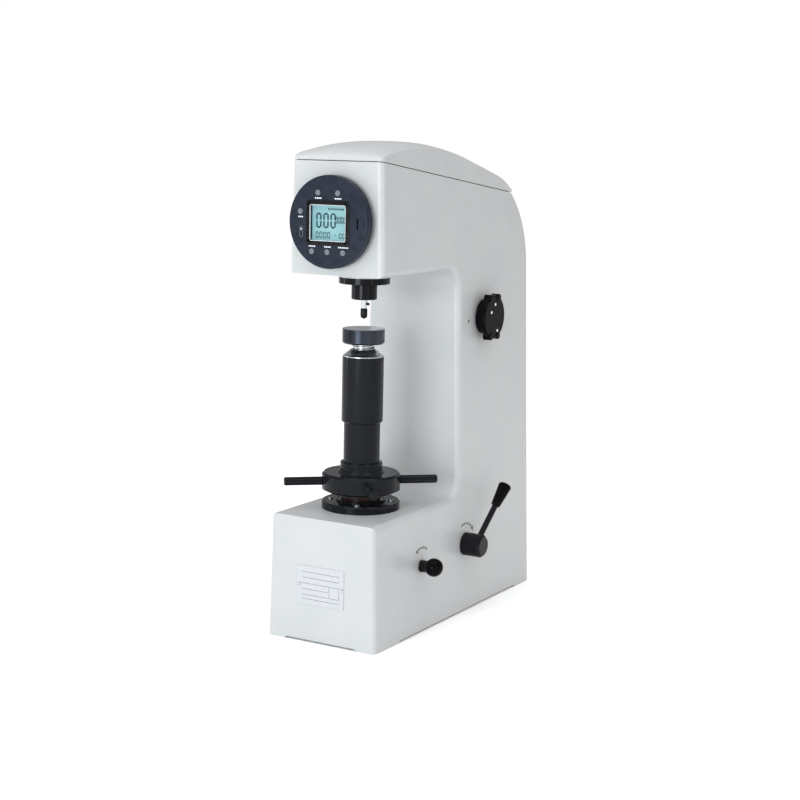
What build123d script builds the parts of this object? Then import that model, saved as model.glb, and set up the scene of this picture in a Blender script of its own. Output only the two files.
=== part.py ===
from build123d import *
from math import atan2, cos, degrees, pi, radians, sin, sqrt, tan
import os

# Bench hardness tester with a C-shaped casting, a screw-raised anvil and a weight-loaded lever.
# Frame: origin on the screw and indenter axis at bench level, +X to the operator's right,
# +Y towards the back, +Z up. Millimetres throughout.

# ---- main casting --------------------------------------------------------------------------------
base_width = 175.0          # across the feet
side_draft = 1.5            # degrees, the sides and back lean in towards the top
base_front = 101.0          # base front face, ahead of the screw axis
base_height = 175.0         # bench to table face
throat = 137.0              # screw axis to column front
back_at_bench = 373.0       # screw axis to back, at the feet
head_reach = 75.0           # head front face, ahead of the screw axis
head_under = 505.0          # bench to underside of the head
throat_radius = 28.0        # blends at the top and bottom of the column
edge_radius = 8.0           # cast outer edges
base_corner = 11.0          # front top corner of the base, in side view
head_corner = 9.0           # front corners of the head, in side view
wall = 9.0                  # casting wall
base_plate = 14.0           # top wall of the base
head_plate = 14.0           # bottom wall of the head

# ---- crown of the top, in side view --------------------------------------------------------------
crown_height = 675.5        # bench to the highest point of the crown's side edges
crown_y = 45.0
crown_radius = 474.0
crown_end = 160.0           # where the crown runs out into the straight slope
crown_camber = 9.0          # rise of the crown's middle above its side edges
camber_reach = 70.0         # from the middle to where the camber has run out
camber_power = 3
camber_end = 303.0          # the camber fades out towards the rear joint
crown_steps = 8             # spans of each lengthwise curve of the crown
crown_stations = 3          # lengthwise curves on either side of the middle
crown_station_gap = 28.0
shoulder_radius = 140.0     # rear shoulder
cap_depth = 18.5            # from the crown down to the cover joint at the head front
cover_edge = 1.5            # upright strip at the front, from the joint to the crown's start
crown_skirt = 105.0         # spare depth below the crown's rear end, trimmed at the joint
seam_height = crown_height - cap_depth
seam_angle = 6.9            # degrees, falls towards the back
seam_gap = 1.2
cover_wall = 4.0
lip_depth = 6.0             # how far the cover's locating lip drops inside the casting
lip_wall = 3.0
fit_gap = 0.4               # side clearance of parts that drop into each other

# ---- feet and bench holes ------------------------------------------------------------------------
foot_height = 3.0
foot_width = 27.0
front_foot = 62.0           # length of each front foot, front to back
rear_foot = 48.0
lug_radius = 12.0
lug_height = 28.0
foot_hole_radius = 4.25     # tapping size of M10
foot_hole_x = 70.0
front_hole_y = -78.0
rear_hole_y = 347.0

# ---- spindle group -------------------------------------------------------------------------------
pad_radius = 36.0           # machined pad under the head
pad_height = 6.0
flange_radius = 35.5
flange_height = 9.0
flange_chamfer = 0.8
flange_recess = 3.2         # the screw heads stand wholly inside the flange
nose_radius = 17.8
nose_height = 21.8
spindle_radius = 12.0
spindle_fit = 0.05
spindle_top_drop = 42.3     # top of the spindle, below the lever's knife edges
spindle_shoulder = 474.5
nose_floor = 473.0
tip_height = 440.8
indenter_radius = 4.8
indenter_top = 455.7
bush_radius = 17.0

# ---- elevating screw, sleeves and anvil ----------------------------------------------------------
screw_radius = 16.0
screw_fit = 0.08
screw_bottom = 118.0
anvil_radius = 29.5
anvil_top = 428.0
anvil_height = 21.0
ring_top = 397.0
sleeve_top = 389.0
upper_sleeve_radius = 29.0
upper_sleeve_bottom = 297.0
lower_sleeve_radius = 25.5
lower_sleeve_top = 340.0
sleeve_gap = 0.4
sleeve_wall = 3.0

# ---- handwheel -----------------------------------------------------------------------------------
wheel_radius = 55.3
wheel_bottom = 199.2
wheel_height = 26.6
wheel_chamfer = 3.0
collar_radius = 29.7
collar_height = 15.0
rod_angle = 41.0            # first rod, measured from +X
rod_count = 4
rod_lift = 1.0              # the rods stand this far above the wheel's mid-height
rod_root = 38.0
rod_reach = 109.0
rod_radius = 6.0
rod_tip_round = 2.4
guide_radius = 55.0
guide_height = 10.6
bearing_radius = 33.0
guide_bush_radius = 27.0
guide_bush_bottom = 128.0
key_width = 6.0
key_depth = 3.0

# ---- gauge on the head front ---------------------------------------------------------------------
gauge_drop = 80.0           # gauge centre, below the cover joint at the head front
gauge_radius = 62.0
gauge_waist_radius = 57.0   # the gauge body's narrower part, against the head
gauge_waist_depth = 8.0
gauge_body_depth = 16.5
faceplate_depth = 4.0
gauge_neck_radius = 14.0
lcd_width = 59.0
lcd_height = 52.0
lcd_drop = 1.3              # the display's centre, below the gauge's centre
button_radius = 3.9
button_travel = 1.0
button_stand = 1.8
button_flange = 5.2
button_places = [(-15.5, 38.5), (15.5, 38.5), (-43.0, 13.0), (-24.5, -39.5), (0.0, -39.5), (24.5, -39.5)]
led_place = (-42.0, -10.5)
slot_place = (46.0, -1.0)

# ---- lever and weights ---------------------------------------------------------------------------
fulcrum_y = -12.0
knife_drop = 75.0           # knife edges, below the cover joint at the head front
weight_y = 288.0
lever_half_width = 14.0
lever_bottom_drop = 32.0    # lever's underside at the middle, below the knife edges
lever_top_drop = 5.0        # lever's top at the knife edges, below them
lever_tail_drop = 12.0      # lever's top between them, below them
pocket_start = 70.0         # front end of the pockets milled in the lever's sides
pocket_end = 45.0           # from the weights' axis to the pockets' rear end
web_lap = 4.0
weight_drop = 12.5          # travel of the weights
hanger_radius = 6.0
weight_radius = 55.0
weight_height = 29.0
weight_seat = 214.0
dashpot_y = 185.0
dashpot_radius = 24.0
dashpot_bore = 20.0
dashpot_bottom = 215.0
dashpot_height = 115.0
piston_rod_radius = 6.0

# ---- controls on the right side ------------------------------------------------------------------
knob_y = 210.0
knob_z = 433.0
knob_collar_radius = 25.5
knob_collar_height = 11.5
knob_radius = 32.5
knob_height = 18.5
knob_edge = 2.5
lobe_radius = 5.5           # four finger lobes, two above and two below
lobe_circle = 30.0
lobe_spread = 22.0          # degrees to either side of upright
lobe_start = 8.0
lobe_end = 20.0
selector_shaft_radius = 6.0
load_y = 157.0
load_z = 102.0
load_shaft_radius = 8.0
load_hub_radius = 17.0
load_hub_height = 30.0
load_lean_back = 36.5       # degrees from upright, towards the back
load_lean_out = 9.0         # degrees from upright, away from the casting
load_rod_radius = 4.3
load_rod_length = 69.0
grip_length = 36.0
grip_overlap = 18.0         # how far the rod reaches into the grip
grip_root_radius = 6.8
grip_tip_radius = 10.2
grip_tip_round = 4.0
trigger_y = 28.0
trigger_z = 96.0
trigger_shaft_radius = 5.0
trigger_hub_radius = 8.5
trigger_hub_height = 11.0
ball_radius = 12.9
ball_offset = (27.0, -13.0, 4.5)    # ball centre from the hub's seat on the casting
latch_arm = 22.0
wall_gap = 0.6              # turning parts stand this far off the casting

# ---- plates --------------------------------------------------------------------------------------
plate_width = 75.0
plate_height = 53.0
plate_thickness = 0.8
plate_z = 81.5
rear_cover_width = 116.0
rear_cover_height = 400.0
rear_cover_z = 270.0
rear_cover_thickness = 2.5

os.makedirs("parts", exist_ok=True)


# heights that follow from the sizes above
knife_height = seam_height - knife_drop
spindle_top = knife_height - spindle_top_drop
lever_bottom = knife_height - lever_bottom_drop
lever_top = knife_height - lever_top_drop
lever_tail_top = knife_height - lever_tail_drop
gauge_height = seam_height - gauge_drop


# ---- geometry shared by the castings -------------------------------------------------------------
def half_width(z):
    """Half the casting's width at height z."""
    return base_width / 2 - tan(radians(side_draft)) * z


def back_y(z):
    """Back face of the casting at height z."""
    return back_at_bench - tan(radians(side_draft)) * z


def seam_z(y, lift=0.0):
    """Height of the cover joint at y."""
    return seam_height - tan(radians(seam_angle)) * (y + head_reach) + lift


def crown_geometry():
    """Centres of the crown and of the rear shoulder, and the slope between them in radians."""
    centre_1 = (crown_y, crown_height - crown_radius)
    slope = atan2(crown_end - crown_y, sqrt(crown_radius**2 - (crown_end - crown_y) ** 2))
    lean = radians(side_draft)
    reach_1 = sin(slope) * centre_1[0] + cos(slope) * centre_1[1] + crown_radius - shoulder_radius
    reach_2 = cos(lean) * back_at_bench - shoulder_radius
    det = cos(lean) * cos(slope) - sin(lean) * sin(slope)
    y2 = (reach_2 * cos(slope) - sin(lean) * reach_1) / det
    z2 = (cos(lean) * reach_1 - reach_2 * sin(slope)) / det
    return centre_1, (y2, z2), slope, lean


def on_arc(centre, radius, angle):
    """Point of a side-view arc whose outward normal leans back by angle from upright."""
    return (centre[0] + radius * sin(angle), centre[1] + radius * cos(angle))


def outline_height(y, inset):
    """Height of the crown, the slope behind it and the rear shoulder at y, at the side edges."""
    centre_1, centre_2, slope, lean = crown_geometry()
    r1 = crown_radius - inset
    r2 = shoulder_radius - inset
    slope_start = on_arc(centre_1, r1, slope)
    slope_stop = on_arc(centre_2, r2, slope)
    if y < slope_start[0]:
        return centre_1[1] + sqrt(r1**2 - (y - centre_1[0]) ** 2)
    if y < slope_stop[0]:
        return slope_start[1] - tan(slope) * (y - slope_start[0])
    return centre_2[1] + sqrt(r2**2 - (y - centre_2[0]) ** 2)


def crown_block(inset):
    """Cushion-shaped body of the top cover, open downwards, with every wall moved in by inset."""
    front = -head_reach + inset
    foot = seam_height + cover_edge
    ys = [crown_y + (camber_end - crown_y) * i / crown_steps for i in range(crown_steps + 1)]
    floor = outline_height(camber_end, inset) - crown_skirt
    ceiling = crown_height + 2 * crown_camber
    with BuildPart() as sides:
        with BuildSketch(Plane.XZ.offset(-front)):
            with BuildLine():
                Polyline(
                    (-half_width(floor) + inset, floor),
                    (half_width(floor) - inset, floor),
                    (half_width(ceiling) - inset, ceiling),
                    (-half_width(ceiling) + inset, ceiling),
                    close=True,
                )
            make_face()
        extrude(amount=front - back_at_bench)
        upright = sides.faces().sort_by(Axis.Y)[0].edges().filter_by(lambda e: abs(e.center().X) > wall)
        fillet(upright, edge_radius - inset)
    with BuildPart() as block:
        for i in range(-crown_stations, crown_stations + 1):
            x = crown_station_gap * i
            rise = crown_camber * (1 - abs(x / camber_reach) ** camber_power)
            points = []
            for y in ys:
                fade = (1 + cos(pi * (y - crown_y) / (camber_end - crown_y))) / 2
                points.append((y, outline_height(y, inset) + rise * fade))
            drop = outline_height(camber_end + 1.0, inset) - outline_height(camber_end - 1.0, inset)
            with BuildSketch(Plane.YZ.offset(x)):
                with BuildLine():
                    top = Spline(*points, tangents=[(1, 0), (2, drop)])
                    Line(top @ 1, (camber_end, floor))
                    Line((camber_end, floor), (front, floor))
                    Line((front, floor), (front, foot))
                    EllipticalCenterArc(
                        (crown_y, foot),
                        crown_y - front,
                        points[0][1] - foot,
                        start_angle=90,
                        arc_size=90,
                    )
                make_face()
        loft()
        add(sides.part, mode=Mode.INTERSECT)
    return block


def casting_form(inset, base_top, head_bottom, bottom, blend):
    """Side view swept across and trimmed by the drafted sides, with every wall moved in by inset."""
    centre_1, centre_2, slope, lean = crown_geometry()
    r1 = crown_radius - inset
    r2 = shoulder_radius - inset
    front = -head_reach + inset
    a3 = pi / 2 - lean
    back = (back_y(bottom) - inset / cos(lean), bottom)
    top_front = (front, crown_height - inset)
    apex = on_arc(centre_1, r1, 0.0)
    with BuildPart() as form:
        with BuildSketch(Plane.YZ) as side_view:
            with BuildLine():
                Polyline(
                    back,
                    (-base_front + inset, bottom),
                    (-base_front + inset, base_top),
                    (throat + inset, base_top),
                    (throat + inset, head_bottom),
                    (front, head_bottom),
                    top_front,
                    apex,
                )
                ThreePointArc(apex, on_arc(centre_1, r1, slope / 2), on_arc(centre_1, r1, slope))
                Line(on_arc(centre_1, r1, slope), on_arc(centre_2, r2, slope))
                ThreePointArc(
                    on_arc(centre_2, r2, slope),
                    on_arc(centre_2, r2, (slope + a3) / 2),
                    on_arc(centre_2, r2, a3),
                )
                Line(on_arc(centre_2, r2, a3), back)
            make_face()
            corners = side_view.vertices()
            base_edge = corners.sort_by_distance((-base_front + inset, base_top, 0))[0]
            head_edge = corners.sort_by_distance((front, head_bottom, 0))[0]
            top_edge = corners.sort_by_distance((*top_front, 0))[0]
            low_blend = corners.sort_by_distance((throat + inset, base_top, 0))[0]
            high_blend = corners.sort_by_distance((throat + inset, head_bottom, 0))[0]
            fillet([low_blend, high_blend], blend)
            fillet(base_edge, base_corner)
            fillet([head_edge, top_edge], head_corner)
        extrude(amount=base_width, both=True)
        with BuildSketch(Plane.XZ):
            with BuildLine():
                Polyline(
                    (-half_width(bottom) + inset, bottom),
                    (half_width(bottom) - inset, bottom),
                    (half_width(crown_height) - inset, crown_height),
                    (-half_width(crown_height) + inset, crown_height),
                    close=True,
                )
            make_face()
        extrude(amount=2 * back_at_bench, both=True, mode=Mode.INTERSECT)
    return form


def seam_slab(low, high):
    """Sloping slab between two lifts above the cover joint."""
    near = -2 * base_front
    far = 2 * back_at_bench
    with BuildPart() as slab:
        with BuildSketch(Plane.YZ):
            with BuildLine():
                Polyline(
                    (near, seam_z(near, low)),
                    (far, seam_z(far, low)),
                    (far, seam_z(far, high)),
                    (near, seam_z(near, high)),
                    close=True,
                )
            make_face()
        extrude(amount=base_width, both=True)
    return slab


def turned(profile, plane=Plane.XZ, axis=Axis.Z, mode=Mode.ADD):
    """Turns a closed profile about an axis, inside the part being built."""
    with BuildSketch(plane) as section:
        with BuildLine():
            Polyline(*profile, close=True)
        make_face()
    revolve(section.sketch, axis=axis, mode=mode)


def tube(radius, bore, bottom, top):
    """Profile of a plain tube for turned()."""
    return [(bore, bottom), (radius, bottom), (radius, top), (bore, top)]


# ---- castings ------------------------------------------------------------------------------------
outer_form = casting_form(0.0, base_height, head_under, 0.0, throat_radius)
with BuildPart() as rounded_form:
    add(outer_form.part)
    side_faces = rounded_form.faces().sort_by(Axis.X)
    cast_edges = side_faces[0].edges() + side_faces[-1].edges()
    fillet(cast_edges.filter_by(lambda e: e.center().Z > 1.0), edge_radius)

frame_hollow = casting_form(wall, base_height - base_plate, head_under + head_plate, -1.0, throat_radius)
cover_hollow = crown_block(cover_wall)
with BuildPart() as cover_form:
    add(crown_block(0.0).part)

lip_outside = casting_form(wall + fit_gap, base_height, head_under + head_plate, 0.0, throat_radius)
lip_inside = casting_form(wall + fit_gap + lip_wall, base_height, head_under + head_plate, 0.0, throat_radius)
above_seam = seam_slab(0.0, crown_height)
cover_block = seam_slab(seam_gap, crown_height)
rim_band = seam_slab(seam_gap, seam_gap + lip_wall)
lip_band = seam_slab(-lip_depth, seam_gap + lip_wall)

screw_slack = 0.05          # shanks and press fits stand this far off their holes

# rear screws of the cover stand square to the joint
cover_screw_y = 279.0
cover_screw_x = 34.0
cover_screw_radius = 2.5
screw_head_radius = 4.5
screw_head_height = 3.5
cover_screw_seat = 6.0      # under the head, above the joint
cover_screw_depth = 12.0    # below the joint
cover_boss_radius = 8.0
cover_solid_y = 262.0       # behind this the cover is solid
seam_plane = Plane(
    origin=(0, cover_screw_y, seam_z(cover_screw_y)),
    x_dir=(1, 0, 0),
    z_dir=(0, sin(radians(seam_angle)), cos(radians(seam_angle))),
)
cover_screw_places = [(-cover_screw_x, 0), (cover_screw_x, 0)]

# the rear opening and its cover plate lie on the drafted back
back_plane = Plane(
    origin=(0, back_y(rear_cover_z), rear_cover_z),
    x_dir=(-1, 0, 0),
    z_dir=(0, cos(radians(side_draft)), sin(radians(side_draft))),
)
rear_cover_lap = 11.0
rear_screw_inset = 6.0
rear_screw_radius = 2.5
rear_screw_depth = 7.0
rear_screw_dx = rear_cover_width - 2 * rear_screw_inset
rear_screw_dy = (rear_cover_height - 2 * rear_screw_inset) / 2

ledge_length = 16.0
ledge_width = 9.0
ledge_height = 12.0
ledge_places = [-36.0, 120.0, 225.0]

selector_bush_radius = 11.0
load_bush_radius = 14.0
trigger_bush_radius = 9.5
foot_places = [(x, y) for x in (-foot_hole_x, foot_hole_x) for y in (front_hole_y, rear_hole_y)]

flange_screw_circle = 26.5
flange_screw_count = 4
m5_radius = 2.5
m5_depth = 10.0
m5_head_radius = 4.2
guide_screw_circle = 43.0
guide_screw_count = 4
guide_screw_angle = 25.0
bracket_foot = 16.0         # fulcrum bracket foot, front to back
plate_rivet_x = 34.5
plate_rivet_radius = 1.6

with BuildPart() as frame_casting:
    add(rounded_form.part)
    add(frame_hollow.part, mode=Mode.SUBTRACT)
    add(above_seam.part, mode=Mode.SUBTRACT)
    # machined pad for the spindle flange
    with BuildSketch(Plane.XY.offset(head_under - pad_height)):
        Circle(pad_radius)
    extrude(amount=pad_height + 1.0)
    # ledges that the cover's lip stands on
    for y in ledge_places:
        for side in (-1, 1):
            x_out = half_width(seam_z(y)) - wall / 2
            with BuildSketch(Plane.YZ.offset(side * x_out)) as ledge:
                with BuildLine():
                    Polyline(
                        (y, seam_z(y, -lip_depth)),
                        (y + ledge_length, seam_z(y + ledge_length, -lip_depth)),
                        (y + ledge_length, seam_z(y + ledge_length, -lip_depth - ledge_height)),
                        (y, seam_z(y, -lip_depth - ledge_height)),
                        close=True,
                    )
                make_face()
            extrude(amount=-side * (wall / 2 + ledge_width))
    # bosses for the cover screws, run out into the rear shoulder
    with BuildSketch(seam_plane):
        with Locations(*cover_screw_places):
            SlotCenterToCenter(2 * cover_boss_radius, 2 * cover_boss_radius, rotation=90)
    extrude(amount=-cover_screw_depth - 6.0, mode=Mode.ADD)
    # lugs for the bench bolts, just inside the feet
    with BuildSketch():
        with Locations(*foot_places):
            Circle(lug_radius)
    extrude(amount=lug_height)
    add(above_seam.part, mode=Mode.SUBTRACT)
    # arches between the feet
    side_arch_front = -base_front + front_foot
    side_arch_back = back_at_bench - rear_foot
    with BuildSketch(Plane.YZ):
        with BuildLine():
            Polyline(
                (side_arch_front, -1),
                (side_arch_back, -1),
                (side_arch_back - 2 * foot_height, foot_height),
                (side_arch_front + 2 * foot_height, foot_height),
                close=True,
            )
        make_face()
    extrude(amount=base_width, both=True, mode=Mode.SUBTRACT)
    front_arch = base_width / 2 - foot_width
    with BuildSketch(Plane.XZ):
        with BuildLine():
            Polyline(
                (-front_arch, -1),
                (front_arch, -1),
                (front_arch - 2 * foot_height, foot_height),
                (-front_arch + 2 * foot_height, foot_height),
                close=True,
            )
        make_face()
    extrude(amount=2 * back_at_bench, both=True, mode=Mode.SUBTRACT)
    with BuildSketch():
        with Locations(*foot_places):
            Circle(foot_hole_radius)
    extrude(amount=lug_height - 3.0, mode=Mode.SUBTRACT)
    # spindle bore and flange screw holes
    with BuildSketch(Plane.XY.offset(head_under - pad_height)):
        Circle(bush_radius)
    extrude(amount=pad_height + head_plate, mode=Mode.SUBTRACT)
    with BuildSketch(Plane.XY.offset(head_under - pad_height)):
        with PolarLocations(flange_screw_circle, flange_screw_count, start_angle=45):
            Circle(m5_radius)
    extrude(amount=m5_depth, mode=Mode.SUBTRACT)
    # elevating screw bore and guide flange holes in the table
    with BuildSketch(Plane.XY.offset(base_height - base_plate)):
        Circle(guide_bush_radius)
    extrude(amount=base_plate, mode=Mode.SUBTRACT)
    with BuildSketch(Plane.XY.offset(base_height)):
        with PolarLocations(guide_screw_circle, guide_screw_count, start_angle=guide_screw_angle):
            Circle(m5_radius)
    extrude(amount=-m5_depth, mode=Mode.SUBTRACT)
    # gauge neck through the front wall
    with BuildSketch(Plane.XZ.offset(head_reach - wall)):
        with Locations((0, gauge_height)):
            Circle(gauge_neck_radius + fit_gap)
    extrude(amount=wall, mode=Mode.SUBTRACT)
    # bushes for the three side shafts
    for y, z, radius in (
        (knob_y, knob_z, selector_bush_radius),
        (load_y, load_z, load_bush_radius),
        (trigger_y, trigger_z, trigger_bush_radius),
    ):
        with BuildSketch(Plane.YZ.offset(half_width(z) - 2 * wall)):
            with Locations((y, z)):
                Circle(radius)
        extrude(amount=3 * wall, mode=Mode.SUBTRACT)
    # rear opening with its screw holes
    with BuildSketch(back_plane):
        RectangleRounded(
            rear_cover_width - 2 * rear_cover_lap,
            rear_cover_height - 2 * rear_cover_lap,
            edge_radius,
        )
    extrude(amount=-2 * wall, mode=Mode.SUBTRACT)
    with BuildSketch(back_plane):
        with GridLocations(rear_screw_dx, rear_screw_dy, 2, 3):
            Circle(rear_screw_radius)
    extrude(amount=-rear_screw_depth, mode=Mode.SUBTRACT)
    # rivet holes of the plate, feet of the fulcrum bracket
    with BuildSketch(Plane.XZ.offset(base_front)):
        with Locations((-plate_rivet_x, plate_z), (plate_rivet_x, plate_z)):
            Circle(plate_rivet_radius)
    extrude(amount=-wall / 2, mode=Mode.SUBTRACT)
    # screw holes of the top cover
    with BuildSketch(seam_plane):
        with Locations(*cover_screw_places):
            Circle(cover_screw_radius)
    extrude(amount=-cover_screw_depth, mode=Mode.SUBTRACT)
frame_casting.part.label = "frame_casting"
export_step(frame_casting.part, "parts/frame_casting.step")

with BuildPart() as cover_rim:
    add(cover_hollow.part)
    add(rim_band.part, mode=Mode.INTERSECT)

with BuildPart() as cover_lip:
    add(lip_outside.part)
    add(lip_band.part, mode=Mode.INTERSECT)

with BuildPart() as cover_room:
    add(cover_hollow.part)
    with BuildSketch(Plane.XY.offset(head_under)):
        with Locations((0, cover_solid_y - back_at_bench)):
            Rectangle(2 * base_width, 2 * back_at_bench)
    extrude(amount=crown_height, mode=Mode.INTERSECT)

with BuildPart() as lip_room:
    add(lip_inside.part)
    with BuildSketch(Plane.XY.offset(head_under)):
        with Locations((0, cover_solid_y - lip_wall - back_at_bench)):
            Rectangle(2 * base_width, 2 * back_at_bench)
    extrude(amount=crown_height, mode=Mode.INTERSECT)
    add(seam_slab(-3 * lip_depth, seam_gap + lip_wall).part, mode=Mode.INTERSECT)

with BuildPart() as top_cover:
    add(cover_form.part)
    add(cover_block.part, mode=Mode.INTERSECT)
    add(cover_room.part, mode=Mode.SUBTRACT)
    add(cover_rim.part)
    add(cover_lip.part)
    add(lip_room.part, mode=Mode.SUBTRACT)
    # the lip leaves room for the screw bosses and the screws
    with BuildSketch(seam_plane.offset(-lip_depth - 1.0)):
        with Locations(*cover_screw_places):
            SlotCenterToCenter(2 * cover_boss_radius, 2 * (cover_boss_radius + 1.0), rotation=90)
    extrude(amount=lip_depth + 1.0 + seam_gap, mode=Mode.SUBTRACT)
    with BuildSketch(seam_plane.offset(seam_gap)):
        with Locations(*cover_screw_places):
            Circle(cover_boss_radius - 1.0)
    extrude(amount=-seam_gap)
    with BuildSketch(seam_plane):
        with Locations(*cover_screw_places):
            Circle(cover_screw_radius + fit_gap)
    extrude(amount=crown_height, mode=Mode.SUBTRACT)
    with BuildSketch(seam_plane.offset(cover_screw_seat)):
        with Locations(*cover_screw_places):
            Circle(screw_head_radius + fit_gap)
    extrude(amount=crown_height, mode=Mode.SUBTRACT)
top_cover.part.label = "top_cover"
export_step(top_cover.part, "parts/top_cover.step")

with BuildPart() as rear_cover:
    with BuildSketch(back_plane):
        RectangleRounded(rear_cover_width, rear_cover_height, edge_radius)
        with GridLocations(rear_screw_dx, rear_screw_dy, 2, 3):
            Circle(rear_screw_radius + fit_gap, mode=Mode.SUBTRACT)
    extrude(amount=rear_cover_thickness)
    outside = rear_cover.faces().sort_by(Axis.Y)[-1]
    chamfer(outside.outer_wire().edges(), rear_cover_thickness / 3)
rear_cover.part.label = "rear_cover"
export_step(rear_cover.part, "parts/rear_cover.step")


def pan_screws(plane, places, seat, shank, head_radius=screw_head_radius, head_height=screw_head_height):
    """Pan-head screws in the part being built, heads standing on plane raised by seat."""
    with BuildSketch(plane.offset(seat)) as heads:
        with Locations(*places):
            Circle(head_radius)
    extrude(heads.sketch, amount=head_height)
    with BuildSketch(plane.offset(seat)) as shanks:
        with Locations(*places):
            Circle(cover_screw_radius - screw_slack)
    extrude(shanks.sketch, amount=-shank)
    with BuildSketch(plane.offset(seat + head_height)) as slots:
        with Locations(*places):
            Rectangle(2 * head_radius, head_radius / 4)
    extrude(slots.sketch, amount=-head_height / 2, mode=Mode.SUBTRACT)


rear_columns = (-rear_screw_dx / 2, rear_screw_dx / 2)
rear_rows = (-rear_screw_dy, 0, rear_screw_dy)
rear_places = [(x, y) for x in rear_columns for y in rear_rows]
with BuildPart() as cover_screws:
    pan_screws(seam_plane, cover_screw_places, cover_screw_seat, cover_screw_seat + cover_screw_depth - 1.0)
    pan_screws(
        back_plane,
        rear_places,
        rear_cover_thickness,
        rear_cover_thickness + rear_screw_depth - 1.0,
        head_height=screw_head_height - 1.0,
    )
cover_screws.part.label = "cover_screws"
export_step(cover_screws.part, "parts/cover_screws.step")

with BuildPart() as name_plate:
    with BuildSketch(Plane.XZ.offset(base_front)):
        with Locations((0, plate_z)):
            Rectangle(plate_width, plate_height)
        with Locations((-plate_rivet_x, plate_z), (plate_rivet_x, plate_z)):
            Circle(plate_rivet_radius + screw_slack, mode=Mode.SUBTRACT)
    extrude(amount=plate_thickness)
name_plate.part.label = "name_plate"
export_step(name_plate.part, "parts/name_plate.step")

rivet_head = 1.0
with BuildPart() as name_plate_rivets:
    with BuildSketch(Plane.XZ.offset(base_front + plate_thickness)):
        with Locations((-plate_rivet_x, plate_z), (plate_rivet_x, plate_z)):
            Circle(plate_rivet_radius + rivet_head)
    extrude(amount=rivet_head, taper=25)
    with BuildSketch(Plane.XZ.offset(base_front + plate_thickness)):
        with Locations((-plate_rivet_x, plate_z), (plate_rivet_x, plate_z)):
            Circle(plate_rivet_radius - screw_slack)
    extrude(amount=-plate_thickness - wall / 3)
name_plate_rivets.part.label = "name_plate_rivets"
export_step(name_plate_rivets.part, "parts/name_plate_rivets.step")

# ---- spindle and indenter ------------------------------------------------------------------------
flange_top = head_under - pad_height
flange_bottom = flange_top - flange_height
nose_bottom = flange_bottom - nose_height
with BuildPart() as spindle_flange:
    turned(
        [
            (spindle_radius + spindle_fit, flange_top),
            (flange_radius, flange_top),
            (flange_radius, flange_bottom + flange_chamfer),
            (flange_radius - flange_chamfer, flange_bottom),
            (nose_radius, flange_bottom),
            (nose_radius, nose_bottom + 1.0),
            (nose_radius - 1.0, nose_bottom),
            (indenter_radius + 2.0, nose_bottom),
            (indenter_radius + 2.0, nose_floor),
            (spindle_radius + spindle_fit, nose_floor),
        ]
    )
    with BuildSketch(Plane.XY.offset(flange_bottom)):
        with PolarLocations(flange_screw_circle, flange_screw_count, start_angle=45):
            Circle(m5_radius + fit_gap)
    extrude(amount=flange_height, mode=Mode.SUBTRACT)
    with BuildSketch(Plane.XY.offset(flange_bottom)):
        with PolarLocations(flange_screw_circle, flange_screw_count, start_angle=45):
            Circle(m5_head_radius + fit_gap)
    extrude(amount=flange_recess, mode=Mode.SUBTRACT)
spindle_flange.part.label = "spindle_flange"
export_step(spindle_flange.part, "parts/spindle_flange.step")

bush_top = head_under + head_plate
with BuildPart() as spindle_bush:
    turned(
        [
            (spindle_radius + spindle_fit, flange_top),
            (bush_radius - screw_slack, flange_top),
            (bush_radius - screw_slack, bush_top),
            (bush_radius + 3.0, bush_top),
            (bush_radius + 3.0, bush_top + 4.0),
            (spindle_radius + spindle_fit, bush_top + 4.0),
        ]
    )
spindle_bush.part.label = "spindle_bush"
export_step(spindle_bush.part, "parts/spindle_bush.step")

shank_radius = 2.5
shank_length = 12.0
nose_tip_radius = 3.6
with BuildPart() as spindle:
    turned(
        [
            (0, indenter_top + shank_length),
            (shank_radius + screw_slack, indenter_top + shank_length),
            (shank_radius + screw_slack, indenter_top),
            (nose_tip_radius, indenter_top),
            (indenter_radius + 0.6, nose_bottom + 1.0),
            (indenter_radius + 0.6, spindle_shoulder),
            (spindle_radius, spindle_shoulder),
            (spindle_radius, spindle_top - 2.0),
            (spindle_radius - 2.0, spindle_top),
            (0, spindle_top),
        ]
    )
    with BuildSketch(Plane.YZ):
        with Locations((0, indenter_top + 6.0)):
            Circle(1.0)
    extrude(amount=spindle_radius, mode=Mode.SUBTRACT)
spindle.part.label = "spindle"
export_step(spindle.part, "parts/spindle.step")

with BuildPart() as indenter:
    turned(
        [
            (0, tip_height),
            (1.2, tip_height + 0.5),
            (indenter_radius - 0.8, tip_height + 2.2),
            (indenter_radius, tip_height + 4.0),
            (indenter_radius, indenter_top - 1.2),
            (indenter_radius - 1.2, indenter_top),
            (shank_radius, indenter_top),
            (shank_radius, indenter_top + shank_length - 0.5),
            (0, indenter_top + shank_length - 0.5),
        ]
    )
indenter.part.label = "indenter"
export_step(indenter.part, "parts/indenter.step")

with BuildPart() as indenter_screw:
    with BuildSketch(Plane.YZ.offset(shank_radius + 0.2)):
        with Locations((0, indenter_top + 6.0)):
            Circle(1.0 - screw_slack)
    extrude(amount=indenter_radius)
    with BuildSketch(Plane.YZ.offset(indenter_radius + 0.6)):
        with Locations((0, indenter_top + 6.0)):
            Circle(1.9)
    extrude(amount=2.6)
indenter_screw.part.label = "indenter_screw"
export_step(indenter_screw.part, "parts/indenter_screw.step")


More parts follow.
